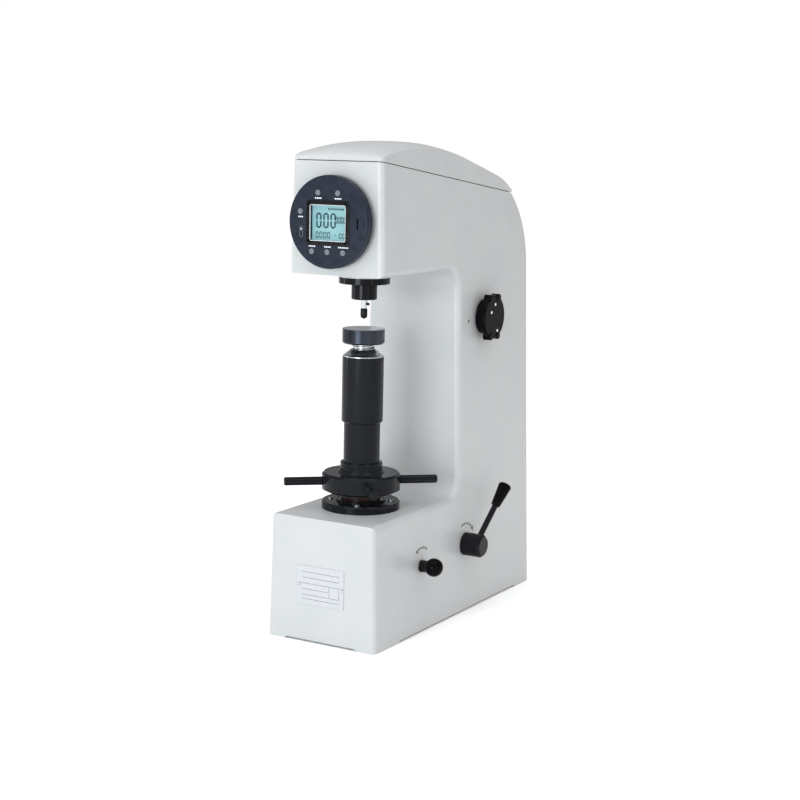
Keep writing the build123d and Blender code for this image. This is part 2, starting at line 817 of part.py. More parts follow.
def cap_screws(plane, places, seat, shank, head_height, head_radius=m5_head_radius):
    """Socket-head screws in the part being built, heads on plane raised by seat."""
    with BuildSketch(plane.offset(seat)) as heads:
        with Locations(*places):
            Circle(head_radius)
            RegularPolygon(head_radius / 2, 6, mode=Mode.SUBTRACT)
    extrude(heads.sketch, amount=head_height)
    with BuildSketch(plane.offset(seat + head_height / 3)) as shanks:
        with Locations(*places):
            Circle(m5_radius - screw_slack)
    extrude(shanks.sketch, amount=-shank - head_height / 3)


def circle_places(radius, count, start):
    """Points spaced evenly on a circle, the first at start degrees."""
    angles = [radians(start + 360.0 * i / count) for i in range(count)]
    return [(radius * cos(a), radius * sin(a)) for a in angles]


flange_places = circle_places(flange_screw_circle, flange_screw_count, 45)
guide_places = circle_places(guide_screw_circle, guide_screw_count, guide_screw_angle)
guide_recess = 4.0          # screw heads stand partly in the guide flange
under_flange = Plane(origin=(0, 0, flange_bottom), x_dir=(1, 0, 0), z_dir=(0, 0, -1))
with BuildPart() as flange_screws:
    cap_screws(
        under_flange,
        flange_places,
        -flange_recess,
        flange_height - flange_recess + m5_depth - 1.0,
        flange_recess - 0.2,
    )
    cap_screws(
        Plane.XY.offset(base_height + guide_height - guide_recess),
        guide_places,
        0.0,
        guide_height - guide_recess + m5_depth - 1.0,
        guide_recess + 1.5,
    )
flange_screws.part.label = "flange_screws"
export_step(flange_screws.part, "parts/flange_screws.step")

# ---- gauge on the head front ---------------------------------------------------------------------
gauge_back = Plane.XZ.offset(head_reach)
plate_back = gauge_back.offset(gauge_body_depth)
plate_front = plate_back.offset(faceplate_depth)
pocket_depth = 4.0
lcd_pocket = 6.0
lcd_z = gauge_height - lcd_drop
button_spots = [(x, gauge_height + z) for x, z in button_places]
led_spot = (led_place[0], gauge_height + led_place[1])
slot_spot = (slot_place[0], gauge_height + slot_place[1])
led_radius = 1.5
with BuildPart() as gauge_body:
    with BuildSketch(gauge_back):
        with Locations((0, gauge_height)):
            Circle(gauge_waist_radius)
    extrude(amount=gauge_body_depth)
    with BuildSketch(gauge_back.offset(gauge_waist_depth)):
        with Locations((0, gauge_height)):
            Circle(gauge_radius)
    extrude(amount=gauge_body_depth - gauge_waist_depth)
    with BuildSketch(gauge_back):
        with Locations((0, gauge_height)):
            Circle(gauge_neck_radius)
    extrude(amount=-wall - 6.0)
    with BuildSketch(plate_back):
        with Locations((0, lcd_z)):
            Rectangle(lcd_width - 2.0, lcd_height - 2.0)
    extrude(amount=-lcd_pocket, mode=Mode.SUBTRACT)
    with BuildSketch(plate_back):
        with Locations(*button_spots):
            Circle(button_flange + fit_gap)
    extrude(amount=-pocket_depth, mode=Mode.SUBTRACT)
gauge_body.part.label = "gauge_body"
export_step(gauge_body.part, "parts/gauge_body.step")

window_frame = 2.6
with BuildPart() as gauge_faceplate:
    with BuildSketch(plate_back):
        with Locations((0, gauge_height)):
            Circle(gauge_radius)
    extrude(amount=faceplate_depth)
    front_rim = gauge_faceplate.faces().sort_by(Axis.Y)[0].edges()
    fillet(front_rim, faceplate_depth * 0.6)
    with BuildSketch(plate_back):
        with Locations((0, lcd_z)):
            Rectangle(lcd_width - 2 * window_frame, lcd_height - 2 * window_frame)
        with Locations(*button_spots):
            Circle(button_radius + fit_gap - 0.1)
        with Locations(led_spot):
            Circle(led_radius + screw_slack)
        with Locations(slot_spot):
            RectangleRounded(2.6, 15.0, 1.2)
    extrude(amount=faceplate_depth, mode=Mode.SUBTRACT)
    with BuildSketch(plate_front):
        with Locations((0, lcd_z)):
            Rectangle(lcd_width, lcd_height)
    extrude(amount=-faceplate_depth / 4, mode=Mode.SUBTRACT)
gauge_faceplate.part.label = "gauge_faceplate"
export_step(gauge_faceplate.part, "parts/gauge_faceplate.step")

with BuildPart() as gauge_display:
    with BuildSketch(plate_back):
        with Locations((0, lcd_z)):
            Rectangle(lcd_width - 2.0 - fit_gap, lcd_height - 2.0 - fit_gap)
    extrude(amount=-lcd_pocket)
gauge_display.part.label = "gauge_display"
export_step(gauge_display.part, "parts/gauge_display.step")

with BuildPart() as gauge_window:
    with BuildSketch(plate_front.offset(-faceplate_depth / 4)):
        with Locations((0, lcd_z)):
            Rectangle(lcd_width - 0.2, lcd_height - 0.2)
    extrude(amount=faceplate_depth / 4 - 0.1)
gauge_window.part.label = "gauge_window"
export_step(gauge_window.part, "parts/gauge_window.step")

with BuildPart() as status_led:
    with BuildSketch(plate_back):
        with Locations(led_spot):
            Circle(led_radius)
    extrude(amount=faceplate_depth + 0.4)
status_led.part.label = "status_led"
export_step(status_led.part, "parts/status_led.step")

for number, spot in enumerate(button_spots, start=1):
    with BuildPart() as gauge_button:
        with BuildSketch(plate_back.offset(-0.1)):
            with Locations(spot):
                Circle(button_flange)
        extrude(amount=-1.2)
        with BuildSketch(plate_back.offset(-0.1)):
            with Locations(spot):
                Circle(button_radius)
        extrude(amount=faceplate_depth + button_stand)
        fillet(gauge_button.faces().sort_by(Axis.Y)[0].edges(), 0.6)
        with BuildSketch(plate_back.offset(-0.1)):
            with Locations(spot):
                Circle(button_radius / 2)
        extrude(amount=-pocket_depth + button_travel + 0.2)
    gauge_button.part.label = f"gauge_button_{number}"
    export_step(gauge_button.part, f"parts/gauge_button_{number}.step")

# ---- elevating screw, anvil and sleeves ----------------------------------------------------------
anvil_bottom = anvil_top - anvil_height
spigot_radius = 9.0
with BuildPart() as elevating_screw:
    turned(
        [
            (0, screw_bottom),
            (screw_radius - 2.0, screw_bottom),
            (screw_radius, screw_bottom + 2.0),
            (screw_radius, anvil_bottom),
            (spigot_radius, anvil_bottom),
            (spigot_radius, anvil_bottom + 13.0),
            (0, anvil_bottom + 13.0),
        ]
    )
    with BuildSketch(Plane.XY.offset(screw_bottom)):
        with Locations((0, screw_radius)):
            Rectangle(key_width, 2 * key_depth)
    extrude(amount=lower_sleeve_top - screw_bottom, mode=Mode.SUBTRACT)
elevating_screw.part.label = "elevating_screw"
export_step(elevating_screw.part, "parts/elevating_screw.step")

with BuildPart() as anvil:
    turned(
        [
            (0, anvil_top),
            (anvil_radius - 0.8, anvil_top),
            (anvil_radius, anvil_top - 0.8),
            (anvil_radius, anvil_bottom + 2.0),
            (anvil_radius - 2.0, anvil_bottom),
            (spigot_radius + screw_slack, anvil_bottom),
            (spigot_radius + screw_slack, anvil_bottom + 13.5),
            (0, anvil_bottom + 13.5),
        ]
    )
anvil.part.label = "anvil"
export_step(anvil.part, "parts/anvil.step")

with BuildPart() as screw_ring:
    turned(
        [
            (screw_radius + screw_slack, sleeve_top),
            (upper_sleeve_radius - 0.6, sleeve_top),
            (upper_sleeve_radius - 0.6, sleeve_top + 1.2),
            (upper_sleeve_radius - 3.0, sleeve_top + 2.6),
            (screw_radius + 1.2, ring_top + 2.0),
            (screw_radius + screw_slack, ring_top + 2.0),
        ]
    )
screw_ring.part.label = "screw_ring"
export_step(screw_ring.part, "parts/screw_ring.step")

upper_bore = lower_sleeve_radius + sleeve_gap
with BuildPart() as upper_sleeve:
    turned(
        [
            (screw_radius + screw_slack, sleeve_top),
            (upper_sleeve_radius - 1.0, sleeve_top),
            (upper_sleeve_radius, sleeve_top - 1.0),
            (upper_sleeve_radius, upper_sleeve_bottom + 1.5),
            (upper_sleeve_radius - 1.5, upper_sleeve_bottom),
            (upper_bore, upper_sleeve_bottom),
            (upper_bore, sleeve_top - sleeve_wall),
            (screw_radius + screw_slack, sleeve_top - sleeve_wall),
        ]
    )
upper_sleeve.part.label = "upper_sleeve"
export_step(upper_sleeve.part, "parts/upper_sleeve.step")

# ---- handwheel -----------------------------------------------------------------------------------
wheel_top = wheel_bottom + wheel_height
rod_height = wheel_bottom + wheel_height / 2 + rod_lift
rod_angles = [rod_angle + 360.0 * i / rod_count for i in range(rod_count)]
collar_top = wheel_top + collar_height
lower_bore = lower_sleeve_radius - sleeve_wall
seat_height = 6.0
with BuildPart() as handwheel:
    turned(
        [
            (screw_radius + screw_fit, wheel_bottom - 3.0),
            (bearing_radius - 5.0, wheel_bottom - 3.0),
            (bearing_radius - 5.0, wheel_bottom),
            (wheel_radius - 2 * wheel_chamfer, wheel_bottom),
            (wheel_radius, wheel_bottom + wheel_chamfer),
            (wheel_radius, wheel_top - wheel_chamfer),
            (wheel_radius - wheel_chamfer, wheel_top),
            (collar_radius + 4.0, wheel_top),
            (collar_radius, wheel_top + 4.0),
            (collar_radius, wheel_top + 9.0),
            (collar_radius - 1.4, wheel_top + 9.0),
            (collar_radius - 1.4, wheel_top + 11.0),
            (collar_radius, wheel_top + 11.0),
            (collar_radius, collar_top - 1.0),
            (collar_radius - 1.0, collar_top),
            (lower_sleeve_radius + screw_slack, collar_top),
            (lower_sleeve_radius + screw_slack, collar_top - seat_height),
            (screw_radius + screw_fit, collar_top - seat_height),
        ]
    )
    for angle in rod_angles:
        rod_way = Plane(
            origin=(0, 0, rod_height),
            x_dir=(0, 0, 1),
            z_dir=(cos(radians(angle)), sin(radians(angle)), 0),
        )
        with BuildSketch(rod_way.offset(rod_root)) as socket:
            Circle(rod_radius - 1.0 + screw_slack)
        extrude(socket.sketch, amount=wheel_radius, mode=Mode.SUBTRACT)
handwheel.part.label = "handwheel"
export_step(handwheel.part, "parts/handwheel.step")

with BuildPart() as handwheel_rods:
    for angle in rod_angles:
        rod_way = Plane(
            origin=(0, 0, rod_height),
            x_dir=(0, 0, 1),
            z_dir=(cos(radians(angle)), sin(radians(angle)), 0),
        )
        with BuildSketch(rod_way.offset(rod_root + 0.2)) as thread:
            Circle(rod_radius - 1.0)
        extrude(thread.sketch, amount=wheel_radius + 1.0 - rod_root)
        with BuildSketch(rod_way.offset(wheel_radius + 0.2)) as grip:
            Circle(rod_radius)
        extrude(grip.sketch, amount=rod_reach - wheel_radius - 0.2)
    rod_edges = handwheel_rods.edges()
    rod_tips = rod_edges.filter_by(lambda e: e.center().X ** 2 + e.center().Y ** 2 > (rod_reach - 1) ** 2)
    fillet(rod_tips, rod_tip_round)
handwheel_rods.part.label = "handwheel_rods"
export_step(handwheel_rods.part, "parts/handwheel_rods.step")

with BuildPart() as lower_sleeve:
    turned(tube(lower_sleeve_radius, lower_bore, collar_top - seat_height, lower_sleeve_top))
lower_sleeve.part.label = "lower_sleeve"
export_step(lower_sleeve.part, "parts/lower_sleeve.step")

guide_top = base_height + guide_height
with BuildPart() as guide_flange:
    turned(
        [
            (screw_radius + 1.0, base_height),
            (guide_radius, base_height),
            (guide_radius, guide_top - 1.5),
            (guide_radius - 1.5, guide_top),
            (bearing_radius + 2.0, guide_top),
            (bearing_radius + 2.0, guide_top + 2.0),
            (bearing_radius, guide_top + 2.0),
            (bearing_radius, guide_top - 2.0),
            (screw_radius + 1.0, guide_top - 2.0),
        ]
    )
    with BuildSketch(Plane.XY.offset(base_height)):
        with Locations(*guide_places):
            Circle(m5_radius + fit_gap)
    extrude(amount=guide_height, mode=Mode.SUBTRACT)
    with BuildSketch(Plane.XY.offset(guide_top - guide_recess)):
        with Locations(*guide_places):
            Circle(m5_head_radius + fit_gap)
    extrude(amount=guide_recess, mode=Mode.SUBTRACT)
guide_flange.part.label = "guide_flange"
export_step(guide_flange.part, "parts/guide_flange.step")

race_bottom = guide_top - 2.0
race_top = wheel_bottom - 3.0
race_height = 3.4
ball_circle = bearing_radius - 6.5
with BuildPart() as thrust_bearing:
    turned(tube(bearing_radius - screw_slack, screw_radius + 3.0, race_bottom, race_bottom + race_height))
    turned(tube(bearing_radius - 0.8, screw_radius + 3.0, race_top - race_height, race_top))
    turned(tube(ball_circle + 1.4, ball_circle - 1.4, race_bottom + race_height, race_top - race_height))
thrust_bearing.part.label = "thrust_bearing"
export_step(thrust_bearing.part, "parts/thrust_bearing.step")

with BuildPart() as guide_bush:
    turned(
        [
            (screw_radius + screw_fit, guide_bush_bottom),
            (guide_bush_radius - 4.0, guide_bush_bottom),
            (guide_bush_radius - screw_slack, guide_bush_bottom + 4.0),
            (guide_bush_radius - screw_slack, base_height),
            (screw_radius + screw_fit, base_height),
        ]
    )
    with BuildSketch(Plane.XY.offset(guide_bush_bottom + 8.0)):
        with Locations((0, screw_radius + 2.0)):
            Rectangle(key_width - 0.3, 2 * (key_depth + 1.7))
    extrude(amount=base_height - guide_bush_bottom - 12.0)
guide_bush.part.label = "guide_bush"
export_step(guide_bush.part, "parts/guide_bush.step")

# ---- load lever ----------------------------------------------------------------------------------
knife_depth = 7.0
knife_half = 4.0
knife_gap = 0.3
bracket_half = 24.0
bracket_plate = 8.0
bracket_bridge = 14.0


def knife(y, edge, way):
    """Knife edge across the lever: tip at edge, body sunk the other way, inside the part being built."""
    with BuildSketch(Plane.YZ) as section:
        with BuildLine():
            Polyline(
                (y, edge),
                (y - knife_half, edge - way * knife_depth),
                (y - knife_half, edge - way * (knife_depth + 4.0)),
                (y + knife_half, edge - way * (knife_depth + 4.0)),
                (y + knife_half, edge - way * knife_depth),
                close=True,
            )
        make_face()
    extrude(section.sketch, amount=lever_half_width, both=True)


spindle_knife = spindle_top + knife_gap
with BuildPart() as knife_edges:
    knife(fulcrum_y, knife_height, 1)
    knife(weight_y, knife_height, 1)
    knife(0.0, spindle_knife, -1)
knife_edges.part.label = "knife_edges"
export_step(knife_edges.part, "parts/knife_edges.step")

lever_nose = -30.0
lever_tail = weight_y + 14.0
with BuildPart() as main_lever:
    with BuildSketch(Plane.YZ):
        with BuildLine():
            Polyline(
                (lever_nose, lever_bottom - 4.0),
                (24.0, lever_bottom - 4.0),
                (60.0, lever_bottom),
                (lever_tail - 30.0, lever_bottom + 4.0),
                (lever_tail, lever_bottom + 8.0),
                (lever_tail, lever_top),
                (lever_tail - 28.0, lever_top),
                (lever_tail - 44.0, lever_tail_top),
                (60.0, lever_tail_top + 4.0),
                (24.0, lever_top),
                (lever_nose, lever_top),
                close=True,
            )
        make_face()
    extrude(amount=lever_half_width, both=True)
    # pockets milled in both sides leave a web
    with BuildSketch(Plane.YZ):
        with BuildLine():
            Polyline(
                (pocket_start, lever_bottom + 5.0),
                (weight_y - pocket_end, lever_bottom + 7.5),
                (weight_y - pocket_end, lever_tail_top - 5.0),
                (pocket_start, lever_tail_top - 2.0),
                close=True,
            )
        make_face()
        fillet(vertices(), 2.5)
    extrude(amount=-lever_half_width, mode=Mode.SUBTRACT, both=True)
    with BuildSketch(Plane.YZ):
        with BuildLine():
            Polyline(
                (pocket_start - web_lap, lever_bottom + 1.5),
                (weight_y - pocket_end + web_lap, lever_bottom + 4.0),
                (weight_y - pocket_end + web_lap, lever_tail_top - 1.5),
                (pocket_start - web_lap, lever_tail_top + 1.5),
                close=True,
            )
        make_face()
    extrude(amount=lever_half_width / 3, both=True)
    add(knife_edges.part, mode=Mode.SUBTRACT)
main_lever.part.label = "main_lever"
export_step(main_lever.part, "parts/main_lever.step")

bracket_top = knife_height + knife_gap + bracket_bridge
bracket_bottom = head_under + head_plate
bracket_front = fulcrum_y - bracket_foot / 2 - 3.0
bracket_back = fulcrum_y + bracket_foot / 2 - 3.0
seat_opening = 9.0
with BuildPart() as fulcrum_bracket:
    with BuildSketch(Plane.YZ):
        with BuildLine():
            Polyline(
                (bracket_front, bracket_bottom),
                (bracket_back, bracket_bottom),
                (bracket_back, bracket_top),
                (bracket_front, bracket_top),
                close=True,
            )
        make_face()
    extrude(amount=bracket_half + bracket_plate, both=True)
    with BuildSketch(Plane.YZ):
        with BuildLine():
            Polyline(
                (bracket_front - 1.0, bracket_bottom),
                (bracket_back + 1.0, bracket_bottom),
                (bracket_back + 1.0, knife_height - 2.0),
                (bracket_front - 1.0, knife_height - 2.0),
                close=True,
            )
        make_face()
    extrude(amount=bracket_half, both=True, mode=Mode.SUBTRACT)
    # V seat over the knife edge
    with BuildSketch(Plane.YZ):
        with BuildLine():
            Polyline(
                (fulcrum_y, knife_height + knife_gap),
                (fulcrum_y - seat_opening, knife_height - 2.0),
                (fulcrum_y + seat_opening, knife_height - 2.0),
                close=True,
            )
        make_face()
    extrude(amount=bracket_half, both=True, mode=Mode.SUBTRACT)
    # feet
    with BuildSketch(Plane.XY.offset(bracket_bottom)):
        with Locations((0, (bracket_front + bracket_back) / 2)):
            Rectangle(2 * (bracket_half + bracket_plate) + 24.0, bracket_foot)
            Rectangle(2 * bracket_half, bracket_foot, mode=Mode.SUBTRACT)
    extrude(amount=7.0)
fulcrum_bracket.part.label = "fulcrum_bracket"
export_step(fulcrum_bracket.part, "parts/fulcrum_bracket.step")

# ---- weights -------------------------------------------------------------------------------------
stirrup_half = lever_half_width + 4.0
stirrup_plate = 6.0
stirrup_depth = 16.0
stirrup_floor = lever_bottom - 18.0
stirrup_roof = knife_height + knife_gap + 9.0
hanger_plate = 7.0
with BuildPart() as weight_hanger:
    with BuildSketch(Plane.XZ.offset(-weight_y)) as loop:
        with BuildLine():
            Polyline(
                (-stirrup_half - stirrup_plate, stirrup_floor - stirrup_plate),
                (stirrup_half + stirrup_plate, stirrup_floor - stirrup_plate),
                (stirrup_half + stirrup_plate, stirrup_roof),
                (-stirrup_half - stirrup_plate, stirrup_roof),
                close=True,
            )
        make_face()
        fillet(vertices(), 4.0)
        with BuildLine():
            Polyline(
                (-stirrup_half, stirrup_floor),
                (stirrup_half, stirrup_floor),
                (stirrup_half, knife_height - 1.0),
                (-stirrup_half, knife_height - 1.0),
                close=True,
            )
        make_face(mode=Mode.SUBTRACT)
    extrude(amount=stirrup_depth / 2, both=True)
    with BuildSketch(Plane.YZ):
        with BuildLine():
            Polyline(
                (weight_y, knife_height + knife_gap),
                (weight_y - 6.0, knife_height - 1.0),
                (weight_y + 6.0, knife_height - 1.0),
                close=True,
            )
        make_face()
    extrude(amount=stirrup_half, both=True, mode=Mode.SUBTRACT)
    with BuildSketch(Plane.XY.offset(weight_seat)):
        with Locations((0, weight_y)):
            Circle(hanger_radius)
    extrude(amount=stirrup_floor - weight_seat - stirrup_plate / 2)
    with BuildSketch(Plane.XY.offset(weight_seat)):
        with Locations((0, weight_y)):
            Circle(weight_radius * 0.6)
    extrude(amount=-hanger_plate)
weight_hanger.part.label = "weight_hanger"
export_step(weight_hanger.part, "parts/weight_hanger.step")

for number, name in enumerate(("weight_lower", "weight_middle", "weight_upper")):
    with BuildPart() as weight:
        with BuildSketch(Plane.XY.offset(weight_seat + number * weight_height)):
            with Locations((0, weight_y)):
                Circle(weight_radius - 3.0 * number)
                Circle(hanger_radius + fit_gap, mode=Mode.SUBTRACT)
        extrude(amount=weight_height)
        rims = weight.edges().filter_by(GeomType.CIRCLE).sort_by(SortBy.RADIUS)[-2:]
        chamfer(rims, 1.5)
    weight.part.label = name
    export_step(weight.part, f"parts/{name}.step")

# ---- dashpot -------------------------------------------------------------------------------------
dashpot_floor = 8.0
dashpot_cap = 6.0
column_inside = throat + wall
piston_height = 14.0
piston_rise = 62.0          # piston above the cylinder's bottom, at rest
piston_z = dashpot_bottom + piston_rise
dashpot_pad_width = 64.0
dashpot_pad_thickness = 8.0
dashpot_neck_width = 24.0
dashpot_pad_inset = 10.0
with BuildPart() as dashpot_cylinder:
    with BuildSketch(Plane.XY.offset(dashpot_bottom)):
        with Locations((0, dashpot_y)):
            Circle(dashpot_radius)
    extrude(amount=dashpot_height)
    # mounting flange cast on, bolted to the column front wall
    with BuildSketch(Plane.XY.offset(dashpot_bottom + dashpot_pad_inset)):
        with Locations((0, (column_inside + dashpot_y) / 2)):
            Rectangle(dashpot_neck_width, dashpot_y - column_inside)
        with Locations((0, column_inside + dashpot_pad_thickness / 2)):
            Rectangle(dashpot_pad_width, dashpot_pad_thickness)
    extrude(amount=dashpot_height - 2 * dashpot_pad_inset)
    with BuildSketch(Plane.XY.offset(dashpot_bottom + dashpot_floor)):
        with Locations((0, dashpot_y)):
            Circle(dashpot_bore)
    extrude(amount=dashpot_height - dashpot_floor - dashpot_cap, mode=Mode.SUBTRACT)
    with BuildSketch(Plane.XY.offset(dashpot_bottom)):
        with Locations((0, dashpot_y)):
            Circle(piston_rod_radius + 0.08)
    extrude(amount=dashpot_height, mode=Mode.SUBTRACT)
dashpot_cylinder.part.label = "dashpot_cylinder"
export_step(dashpot_cylinder.part, "parts/dashpot_cylinder.step")

with BuildPart() as dashpot_piston:
    with BuildSketch(Plane.XY.offset(piston_z)):
        with Locations((0, dashpot_y)):
            Circle(dashpot_bore - 0.09)
            Circle(piston_rod_radius + screw_slack, mode=Mode.SUBTRACT)
            with PolarLocations((dashpot_bore + piston_rod_radius) / 2, 4):
                Circle(1.5, mode=Mode.SUBTRACT)
    extrude(amount=piston_height)
dashpot_piston.part.label = "dashpot_piston"
export_step(dashpot_piston.part, "parts/dashpot_piston.step")

lever_drop_ratio = (dashpot_y - fulcrum_y) / (weight_y - fulcrum_y)
cam_lift = weight_drop * lever_drop_ratio
cam_radius = 23.0
cam_width = 14.0
foot_gap = 1.0
foot_bottom = load_z + cam_radius + foot_gap
foot_plate = 9.0
rod_top = lever_bottom + 0.5
with BuildPart() as piston_rod:
    with BuildSketch(Plane.XY.offset(foot_bottom)):
        with Locations((0, dashpot_y)):
            Circle(piston_rod_radius)
    extrude(amount=rod_top - foot_bottom)
    chamfer(piston_rod.faces().sort_by(Axis.Z)[-1].edges(), 2.0)
    with BuildSketch(Plane.XY.offset(foot_bottom)):
        with Locations((0, (load_y + dashpot_y) / 2)):
            SlotCenterToCenter(dashpot_y - load_y, cam_width + 2.0, rotation=90)
    extrude(amount=foot_plate)
piston_rod.part.label = "piston_rod"
export_step(piston_rod.part, "parts/piston_rod.step")

# ---- load handle ---------------------------------------------------------------------------------
load_face = half_width(load_z)
load_bush_inner = 46.0
with BuildPart() as load_bush:
    with BuildSketch(Plane.YZ.offset(load_bush_inner)):
        with Locations((load_y, load_z)):
            Circle(load_bush_radius - screw_slack)
            Circle(load_shaft_radius + screw_slack, mode=Mode.SUBTRACT)
    extrude(amount=load_face - 1.0 - load_bush_inner)
load_bush.part.label = "load_bush"
export_step(load_bush.part, "parts/load_bush.step")

latch_x = 38.0
latch_width = 8.0
latch_disc_radius = 24.0
hub_start = half_width(load_z - load_hub_radius) + wall_gap
hub_end = hub_start + load_hub_height
cam_end = -cam_width / 2
with BuildPart() as load_shaft:
    with BuildSketch(Plane.YZ.offset(cam_end - 3.0)):
        with Locations((load_y, load_z)):
            Circle(load_shaft_radius)
    extrude(amount=hub_end - 6.0 - cam_end + 3.0)
load_shaft.part.label = "load_shaft"
export_step(load_shaft.part, "parts/load_shaft.step")

cam_steps = 6
cam_sweep = 90.0
with BuildPart() as load_cam:
    # lifting cam: full radius at the top, falling evenly over the handle's quarter turn
    with BuildSketch(Plane.YZ.offset(-cam_width / 2)):
        with BuildLine():
            fall = []
            for i in range(cam_steps + 1):
                turn = radians(cam_sweep * i / cam_steps)
                reach = cam_radius - cam_lift * i / cam_steps
                fall.append((load_y + reach * sin(turn), load_z + reach * cos(turn)))
            Spline(*fall)
            low = cam_radius - cam_lift
            ThreePointArc(
                fall[-1],
                (load_y, load_z - low),
                (load_y - low, load_z),
            )
            Line((load_y - low, load_z), (load_y - low, load_z + low / 2))
            ThreePointArc(
                (load_y - low, load_z + low / 2),
                (load_y - low * 0.62, load_z + low * 1.12),
                fall[0],
            )
        make_face()
        with Locations((load_y, load_z)):
            Circle(load_shaft_radius + screw_slack, mode=Mode.SUBTRACT)
    extrude(amount=cam_width)
    # sleeve to the latch disc
    with BuildSketch(Plane.YZ.offset(cam_width / 2)):
        with Locations((load_y, load_z)):
            Circle(load_shaft_radius + 4.0)
            Circle(load_shaft_radius + screw_slack, mode=Mode.SUBTRACT)
    extrude(amount=latch_x - latch_width / 2 - cam_width / 2)
    with BuildSketch(Plane.YZ.offset(latch_x - latch_width / 2)):
        with Locations((load_y, load_z)):
            Circle(latch_disc_radius)
            Circle(load_shaft_radius + screw_slack, mode=Mode.SUBTRACT)
        with Locations((load_y - latch_disc_radius, load_z + latch_arm)):
            Rectangle(18.0, 12.0, mode=Mode.SUBTRACT)
    extrude(amount=latch_width)
load_cam.part.label = "load_cam"
export_step(load_cam.part, "parts/load_cam.step")

with BuildPart() as load_hub:
    with BuildSketch(Plane.YZ.offset(hub_start)):
        with Locations((load_y, load_z)):
            Circle(load_hub_radius)
    extrude(amount=load_hub_height)
    chamfer(load_hub.faces().sort_by(Axis.X)[-1].edges(), 3.5)
    with BuildSketch(Plane.YZ.offset(hub_start)):
        with Locations((load_y, load_z)):
            Circle(load_shaft_radius + screw_slack)
    extrude(amount=load_hub_height - 6.0, mode=Mode.SUBTRACT)
    rod_way = Plane(
        origin=(hub_start + load_hub_height * 0.55, load_y, load_z),
        x_dir=(0, cos(radians(load_lean_back)), -sin(radians(load_lean_back))),
        z_dir=(
            tan(radians(load_lean_out)),
            sin(radians(load_lean_back)),
            cos(radians(load_lean_back)),
        ),
    )
    rod_start = load_shaft_radius + 2.5
    with BuildSketch(rod_way.offset(rod_start)):
        Circle(load_rod_radius + screw_slack)
    extrude(amount=load_hub_radius, mode=Mode.SUBTRACT)
load_hub.part.label = "load_hub"
export_step(load_hub.part, "parts/load_hub.step")

rod_end = load_hub_radius + load_rod_length
with BuildPart() as load_rod:
    with BuildSketch(rod_way.offset(rod_start + 0.2)):
        Circle(load_rod_radius)
    extrude(amount=rod_end - rod_start)
load_rod.part.label = "load_rod"
export_step(load_rod.part, "parts/load_rod.step")

grip_start = rod_end - grip_overlap
with BuildPart() as load_grip:
    with BuildSketch(rod_way.offset(grip_start)):
        Circle(grip_root_radius)
    with BuildSketch(rod_way.offset(grip_start + grip_length)):
        Circle(grip_tip_radius)
    loft()
    ends = load_grip.edges().filter_by(GeomType.CIRCLE).sort_by(SortBy.RADIUS)
    fillet(ends[-1], grip_tip_round)
    with BuildSketch(rod_way.offset(grip_start)):
        Circle(load_rod_radius + screw_slack)
    extrude(amount=rod_end - grip_start + 0.6, mode=Mode.SUBTRACT)
load_grip.part.label = "load_grip"
export_step(load_grip.part, "parts/load_grip.step")

# ---- trigger lever and latch ---------------------------------------------------------------------
trigger_face = half_width(trigger_z)
trigger_inner = 44.0
with BuildPart() as trigger_bush:
    with BuildSketch(Plane.YZ.offset(trigger_inner)):
        with Locations((trigger_y, trigger_z)):
            Circle(trigger_bush_radius - screw_slack)
            Circle(trigger_shaft_radius + screw_slack, mode=Mode.SUBTRACT)
    extrude(amount=trigger_face - 1.0 - trigger_inner)
trigger_bush.part.label = "trigger_bush"
export_step(trigger_bush.part, "parts/trigger_bush.step")

arm_gap = 0.4
pin_radius = 3.0
trigger_start = half_width(trigger_z - trigger_hub_radius) + wall_gap
with BuildPart() as trigger_shaft:
    with BuildSketch(Plane.YZ.offset(latch_x - latch_width - 7.0)):
        with Locations((trigger_y, trigger_z)):
            Circle(trigger_shaft_radius)
    extrude(amount=trigger_start + trigger_hub_height - 4.0 - (latch_x - latch_width - 7.0))
trigger_shaft.part.label = "trigger_shaft"
export_step(trigger_shaft.part, "parts/trigger_shaft.step")

arm_left = latch_x - latch_width / 2 - arm_gap
with BuildPart() as trigger_arm:
    with BuildSketch(Plane.YZ.offset(arm_left)):
        with Locations((trigger_y, trigger_z + latch_arm / 2)):
            SlotCenterToCenter(latch_arm, 14.0, rotation=90)
        with Locations((trigger_y, trigger_z)):
            Circle(trigger_shaft_radius + 4.0)
            Circle(trigger_shaft_radius + screw_slack, mode=Mode.SUBTRACT)
    extrude(amount=-7.0)
    with BuildSketch(Plane.YZ.offset(arm_left)):
        with Locations((trigger_y, trigger_z + latch_arm)):
            Circle(pin_radius)
    extrude(amount=latch_width + 2 * arm_gap)
trigger_arm.part.label = "trigger_arm"
export_step(trigger_arm.part, "parts/trigger_arm.step")

bar_front = trigger_y - 10.0
bar_back = load_y - latch_disc_radius - 0.6
bar_half = 7.5
slot_clear = 0.6
with BuildPart() as latch_bar:
    with BuildSketch(Plane.YZ.offset(latch_x - latch_width / 2)):
        with Locations(((bar_front + bar_back) / 2, trigger_z + latch_arm)):
            Rectangle(bar_back - bar_front, 2 * bar_half)
        with Locations((trigger_y, trigger_z + latch_arm - 3.0)):
            Rectangle(2 * (pin_radius + slot_clear), 2 * bar_half, mode=Mode.SUBTRACT)
        with Locations((bar_back, trigger_z + latch_arm + bar_half)):
            Rectangle(24.0, bar_half + 1.0, mode=Mode.SUBTRACT)
    extrude(amount=latch_width)
latch_bar.part.label = "latch_bar"
export_step(latch_bar.part, "parts/latch_bar.step")

